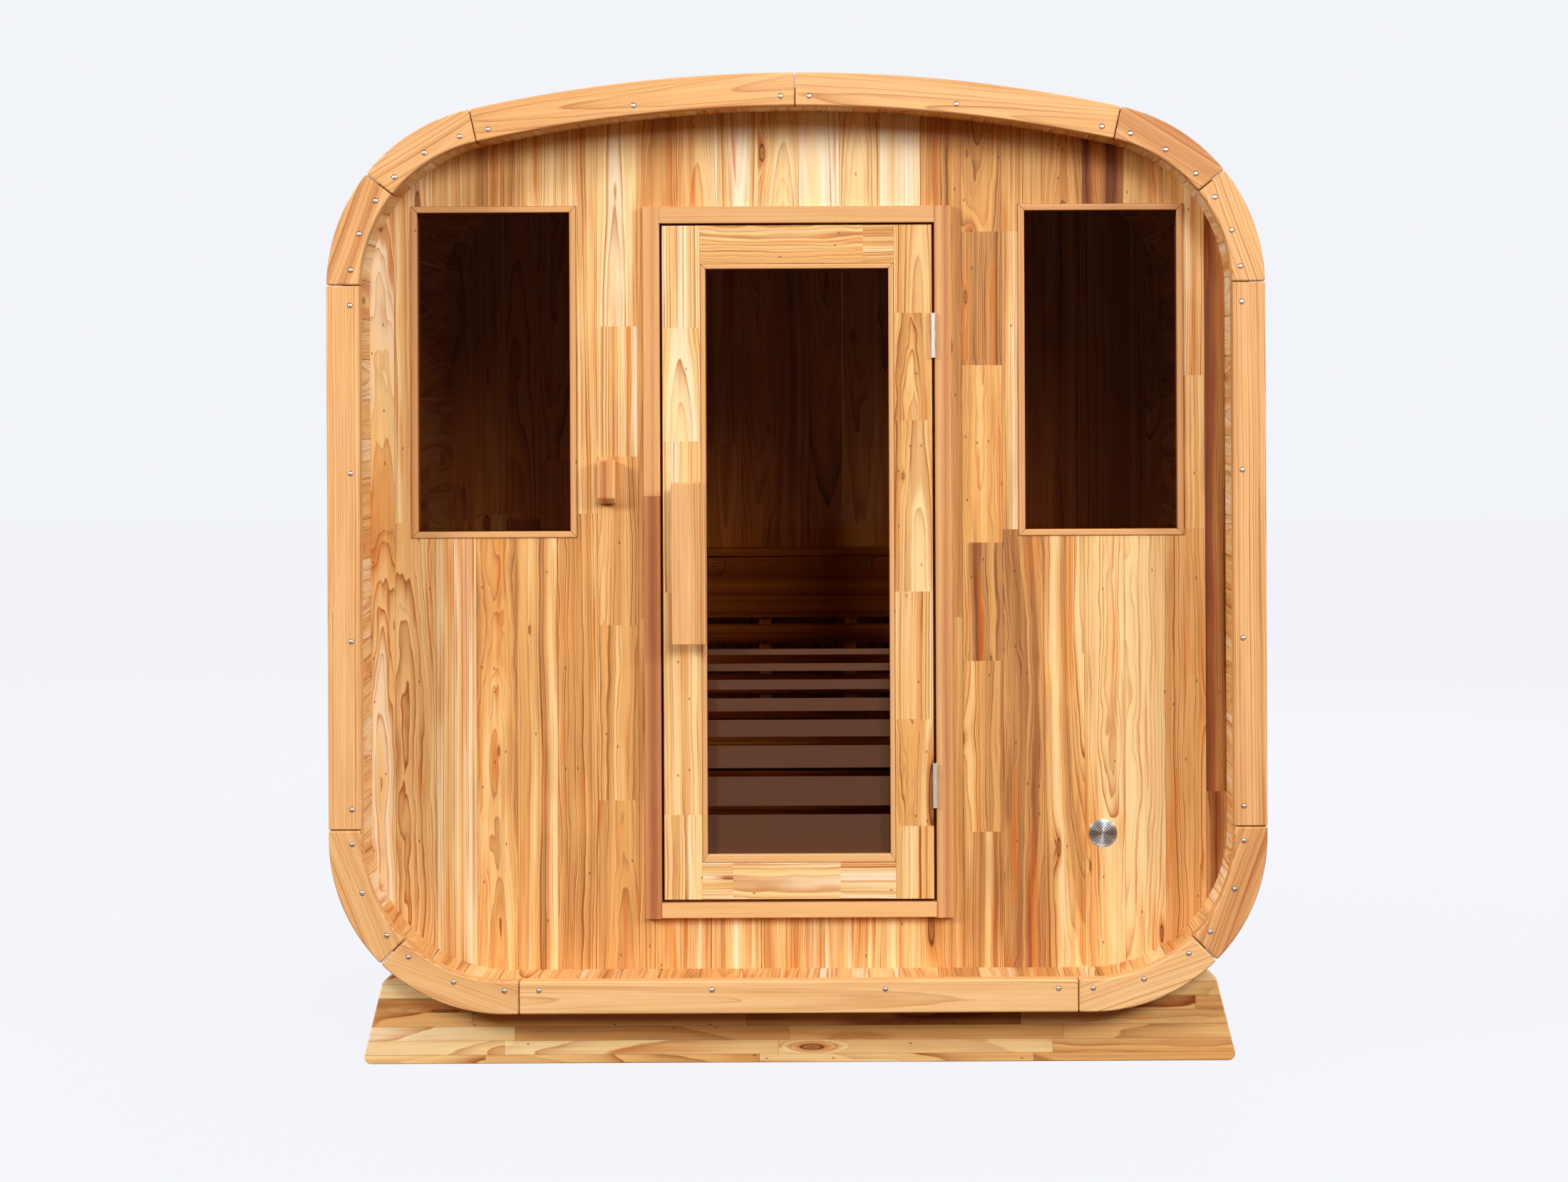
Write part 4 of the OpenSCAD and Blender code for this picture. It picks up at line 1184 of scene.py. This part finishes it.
bead_wood = timber("bead_wood", FRAME_EARLY, FRAME_LATE, contrast=0.6, line=0.0006, wander=0.002,
                   knots=0.05, resin=0.1, smoke=0.05, drift=0.25, streaks=0.10, roughness=0.4)
pane_low, pane_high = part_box("door_glass")
boards = Boards(61)
mitred(boards, bead_low, bead_high, (DOOR_BEAD, DOOR_BEAD, DOOR_BEAD_BOTTOM),
       bead_low.y - BEAD_PROUD, bead_high.y + BEAD_PROUD, (pane_low.y, pane_high.y),
       (0.02, 0.30, 0.24, 0.30))
piece("door_bead", boards.mesh("door_bead"), bead_wood, "door_wood", "door_bead", body="door")
boards = Boards(62)
for (low, high), side in zip(windows, ("left", "right")):
    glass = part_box("window_glass_" + side)
    mitred(boards, low, high, [WINDOW_BEAD] * 3, low.y, high.y, (glass[0].y, glass[1].y),
           (0.25, 0.42, 0.30, 0.36))
piece("window_beads", boards.mesh("window_beads"), bead_wood, "door_wood",
      "window_frame_left", "window_frame_right")


def repainted(material, *nodes):
    """Puts another material on CAD nodes that are shown as they are."""
    for name in nodes:
        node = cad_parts[name]
        node.data.materials.clear()
        node.data.materials.append(material)


f = Finish("tinted_glass")
pane = f.result("ShaderNodeBsdfPrincipled", Base_Color=(0.270, 0.165, 0.078, 1), Roughness=0.0,
                IOR=1.12, Transmission_Weight=1.0)
let_through = f.result("ShaderNodeBsdfTransparent", Color=(1.0, 0.94, 0.84, 1))
shadow_ray = f.result("ShaderNodeLightPath", output="Is Shadow Ray")
repainted(f.finish(f.mixed(shadow_ray, pane, let_through)),
          "window_glass_left", "window_glass_right", "door_glass")

f = Finish("glass_film")
speckle = f.noise(f.place(), (700, 700, 700), 1.0)
film_coat = f.painted(Base_Color=f.blend(speckle, colour("52301C"), colour("5A3520")),
                      Roughness=0.6, Specular_IOR_Level=0.25)
bands = bmesh.new()
low, height = FILM_LOWEST, FILM_HEIGHT
for number in range(FILM_BANDS):
    middle = Matrix.Translation((0, pane_low.y - FILM_THICK / 2, low + height / 2))
    size = Matrix.Diagonal((2 * (bead_high.x - DOOR_BEAD), FILM_THICK, height, 1))
    bmesh.ops.create_cube(bands, size=1, matrix=middle @ size)
    low += height + FILM_GAP
    height *= FILM_TAPER
piece("glass_film", made_mesh("glass_film", bands), film_coat, "tinted_glass", body="door")


# ---- Handle ----
# An upright plank of smooth softwood with rounded edges is held off the left stile by two
# square blocks.
PLANK_THICK = 0.025
PLANK_EASE = 0.0035
STANDOFF = 0.030
STANDOFF_SPAN = 0.236
STANDOFF_EASE = 0.002

handle_low, handle_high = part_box("door_handle")
handle_middle = (handle_low + handle_high) / 2
boards = Boards(71)
solid = block(handle_low, (handle_high.x, handle_low.y + PLANK_THICK, handle_high.z))
boards.add(eased(solid, PLANK_EASE, 4), *UPRIGHT, 0.35, "fine")
for side in (-1, 1):
    middle = Vector((handle_middle.x, 0, handle_middle.z + side * STANDOFF_SPAN / 2))
    half = Vector((STANDOFF / 2, 0, STANDOFF / 2))
    solid = block(middle - half + Vector((0, handle_low.y + PLANK_THICK, 0)),
                  middle + half + Vector((0, handle_high.y, 0)))
    boards.add(eased(solid, STANDOFF_EASE, along=(0, 1, 0)), *UPRIGHT, 0.75, "fine")
piece("door_handle", boards.mesh("door_handle"), rim_wood, "rim_wood", "door_handle", body="door")


# ---- Hinges ----
# Two steel butt hinges, 102 mm high, show their knuckles in the gap on the right. They keep
# their CAD shapes.
repainted(steel("hinge_steel", "F0F2F4", rough=0.30, metallic=0.6),
          "frame_hinge_leaves", "door_hinge_leaves")


# ---- Robe peg ----
# A small block of softwood sits on the wall, to the left of the door. Its lower front edge is
# bevelled and its other edges are rounded.
PEG_BEVEL = 0.013
PEG_EASE = 0.003

peg_low, peg_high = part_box("robe_peg")
boards = Boards(77)
solid = prism([(peg_high.y, peg_low.z), (peg_high.y, peg_high.z), (peg_low.y, peg_high.z),
               (peg_low.y, peg_low.z + PEG_BEVEL), (peg_low.y + PEG_BEVEL, peg_low.z)],
              peg_low.x, peg_high.x, axis=0)
boards.add(eased(solid, PEG_EASE, 4), *UPRIGHT, 0.74, "fine")
piece("robe_peg", boards.mesh("robe_peg"), rim_wood, "rim_wood", "robe_peg")


# ---- Vent ----
# A slightly domed disc of brushed stainless steel, pierced by small round holes, on a short
# collar that fits the hole through the wall.
VENT_RADIUS = (vent[1].x - vent[0].x) / 2
VENT_DOME = 0.0025
VENT_LIP = 0.0011
VENT_BEVEL = 0.0004
COLLAR_BORE = 0.0265
COLLAR_TOP = -0.001
COLLAR_END = -0.020
HOLE_ROWS = 19
HOLE_PITCH = 0.0034
HOLE_RADIUS = 0.00118
HOLE_REACH = 0.0262

profile = [(0, VENT_BEVEL)] + [(VENT_RADIUS * 0.80 * i / 6, VENT_BEVEL) for i in range(1, 7)]
profile += [(VENT_RADIUS * 0.86, 0.0), (VENT_RADIUS - VENT_BEVEL, 0.0),
            (VENT_RADIUS, VENT_BEVEL), (VENT_RADIUS - 0.0006, VENT_LIP)]
profile += [(VENT_RADIUS * share,
             VENT_LIP + (VENT_DOME - VENT_LIP) * math.cos(share * QUARTER_TURN))
            for share in (0.95, 0.88, 0.80, 0.68, 0.54, 0.40, 0.26, 0.12)] + [(0, VENT_DOME)]

pierced = Tree("vent_holes", Pitch="Float", Hole="Float", Reach="Float", Material="Material")
pitch = pierced.given["Pitch"]
width = pitch * (HOLE_ROWS - 1.0)
grid = pierced.result("GeometryNodeMeshGrid", Size_X=width, Size_Y=width, Vertices_X=HOLE_ROWS,
                      Vertices_Y=HOLE_ROWS)
row = pierced.math("FLOORED_MODULO", pierced.result("GeometryNodeInputIndex"), 2.0)
holes = pierced.result("GeometryNodeSetPosition", Geometry=grid,
                       Offset=pierced.vector(row * (pitch * 0.5)))
far = pierced.vector_math("LENGTH", pierced.result("GeometryNodeInputPosition"))
outside = pierced.result("FunctionNodeCompare", {"data_type": "FLOAT", "operation": "GREATER_THAN"},
                         A=far, B=pierced.given["Reach"])
holes = pierced.result("GeometryNodeDeleteGeometry", {"domain": "POINT"}, Geometry=holes,
                       Selection=outside)
drill = pierced.result("GeometryNodeMeshCylinder", Vertices=8, Radius=pierced.given["Hole"],
                       Depth=0.02)
drills = pierced.result("GeometryNodeInstanceOnPoints", Points=holes, Instance=drill)
drills = pierced.result("GeometryNodeRealizeInstances", Geometry=drills)
pierced.finish(pierced.result(
    "GeometryNodeMeshBoolean", {"operation": "DIFFERENCE", "solver": "MANIFOLD"},
    Mesh_1=pierced.given["Geometry"], Mesh_2=drills))

f = Finish("vent_steel")
x, _, z = f.split(f.vector_math("SUBTRACT", f.place(), (VENT_CENTRE.x, 0.0, VENT_CENTRE.y)))
brushing = f.noise(f.vector(f.math("SQRT", x ** 2.0 + z ** 2.0)), (2600, 1, 1), 2.0)
vent_steel = f.painted(Base_Color=f.blend(brushing, colour("C9CCCB"), colour("F4F6F6")),
                       Roughness=0.34, Metallic=1.0, Anisotropic=0.85,
                       Tangent=f.vector(x, 0.0, z))
disc_mesh = pierced.made(made_mesh("vent_disc", lathed(profile, 64)), Pitch=HOLE_PITCH,
                         Hole=HOLE_RADIUS, Reach=HOLE_REACH, Material=vent_steel)
collar = lathed([(COLLAR_BORE, COLLAR_TOP), (VENT_HOLE, COLLAR_TOP), (VENT_HOLE, COLLAR_END),
                 (COLLAR_BORE, COLLAR_END), (COLLAR_BORE, COLLAR_TOP)], 48)
bmesh.ops.remove_doubles(collar, verts=collar.verts, dist=1e-6)
joined = bmesh.new()
joined.from_mesh(disc_mesh)
joined.from_mesh(made_mesh("vent_collar", collar))
joined.transform(Matrix.Translation((VENT_CENTRE.x, wall_low.y, VENT_CENTRE.y))
                 @ Matrix.Rotation(QUARTER_TURN, 4, "X"))
vent_mesh = made_mesh("vent", joined)
vent_mesh.materials.append(vent_steel)
piece("vent", smoothed(vent_mesh, 30), vent_steel, "stainless_steel", "vent_grille")


# ---- Cradles ----
# Two planks of glued softwood strips, 45 mm thick, are hollowed to the cabin's outline. They
# hold its staves 156 mm above the ground.
CRADLE_EASE = 0.003
FLAT_EDGE = math.radians(0.5)

cradle_wood = timber("cradle_wood", contrast=1.1, wander=0.006, knots=0.4, resin=0.5, smoke=0.12,
                     drift=0.3, roughness=0.5, strips=(0.032, 0.62, 0.020))


def cad_solids(name):
    """Each separate solid of a CAD node as a mesh of its own, with its flat faces made whole."""
    whole = bmesh.new()
    whole.from_mesh(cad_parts[name].data)
    bmesh.ops.remove_doubles(whole, verts=whole.verts, dist=1e-5)
    whole.verts.index_update()
    left = set(whole.verts)
    groups = []
    while left:
        group, edge = set(), [left.pop()]
        while edge:
            vert = edge.pop()
            group.add(vert.index)
            for link in vert.link_edges:
                other = link.other_vert(vert)
                if other in left:
                    left.remove(other)
                    edge.append(other)
        groups.append(group)
    for group in sorted(groups, key=min):
        part = whole.copy()
        part.verts.index_update()
        others = [vert for vert in part.verts if vert.index not in group]
        bmesh.ops.delete(part, geom=others, context="VERTS")
        bmesh.ops.dissolve_limit(part, angle_limit=FLAT_EDGE, verts=part.verts, edges=part.edges)
        yield part
    whole.free()


for name in ("front_cradle", "back_cradle"):
    plank = bmesh.new()
    for solid in cad_solids(name):
        plank.from_mesh(made_mesh(name, eased(solid, CRADLE_EASE)))
    piece(name + "_plank", smoothed(made_mesh(name, plank)), cradle_wood, "cradle_wood", name)


# ---- Bench ----
# Slats with rounded edges lie on bearers and posts across the back of the room, with an edge
# board and skirt boards in front. All of it is planed softwood.
AXES = ((1, 0, 0), (0, 1, 0), (0, 0, 1))

bench_wood = timber("bench_wood", contrast=0.8, wander=0.005, knots=0.2, resin=0.3, smoke=0.15)


def cad_boards(name, nodes, ease, tones, seed):
    """Boards in place of some CAD nodes' solids, each with its grain along its longest side."""
    boards = Boards(seed)
    for node in nodes:
        for solid in cad_solids(node):
            places = [vert.co for vert in solid.verts]
            sizes = [max(p[i] for p in places) - min(p[i] for p in places) for i in range(3)]
            order = sorted(range(3), key=lambda i: -sizes[i])
            boards.add(eased(solid, ease), AXES[order[0]], AXES[order[1]],
                       boards.chance.uniform(*tones),
                       boards.chance.choice(("straight", "wide", "tall")))
    piece(name, boards.mesh(name), bench_wood, "bench_wood", *nodes)


cad_boards("bench_slats", ["bench_top"], ease=0.004, tones=(0.3, 0.6), seed=81)
cad_boards("bench_boards", ["bench_front"], ease=0.003, tones=(0.35, 0.65), seed=82)
cad_boards("bench_frame", ["bench_posts", "bench_bearers"], ease=0.002, tones=(0.3, 0.6), seed=83)


# ---- Backrest ----
# Level slats and a wide board are held by battens on the back wall. Above them are two rails
# with round inner ends, a third hollowed between them, and a cap. Dark screws show in a row.
BACK_SCREWS = (-0.251, -0.207, -0.186, 0.135, 0.156, 0.200)
BACK_SCREW_RISE = 0.026
BACK_SCREW_PROUD = 0.0012

cad_boards("backrest_boards", ["backrest_slats"], ease=0.003, tones=(0.70, 0.90), seed=91)
cad_boards("backrest_top", ["backrest_rails"], ease=0.0015, tones=(0.62, 0.80), seed=92)
cad_boards("backrest_supports", ["backrest_battens"], ease=0.002, tones=(0.3, 0.6), seed=93)
screw_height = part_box("backrest_rails")[0].z + BACK_SCREW_RISE
screw_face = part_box("backrest_slats")[0].y - BACK_SCREW_PROUD
screws("backrest_screws", [((x, screw_face, screw_height), (0, -1, 0)) for x in BACK_SCREWS], 7,
       steel("dark_steel", "3A3330", rough=0.5))

bpy.data.objects.remove(head_holder)
low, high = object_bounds()
list(low)
list(high)
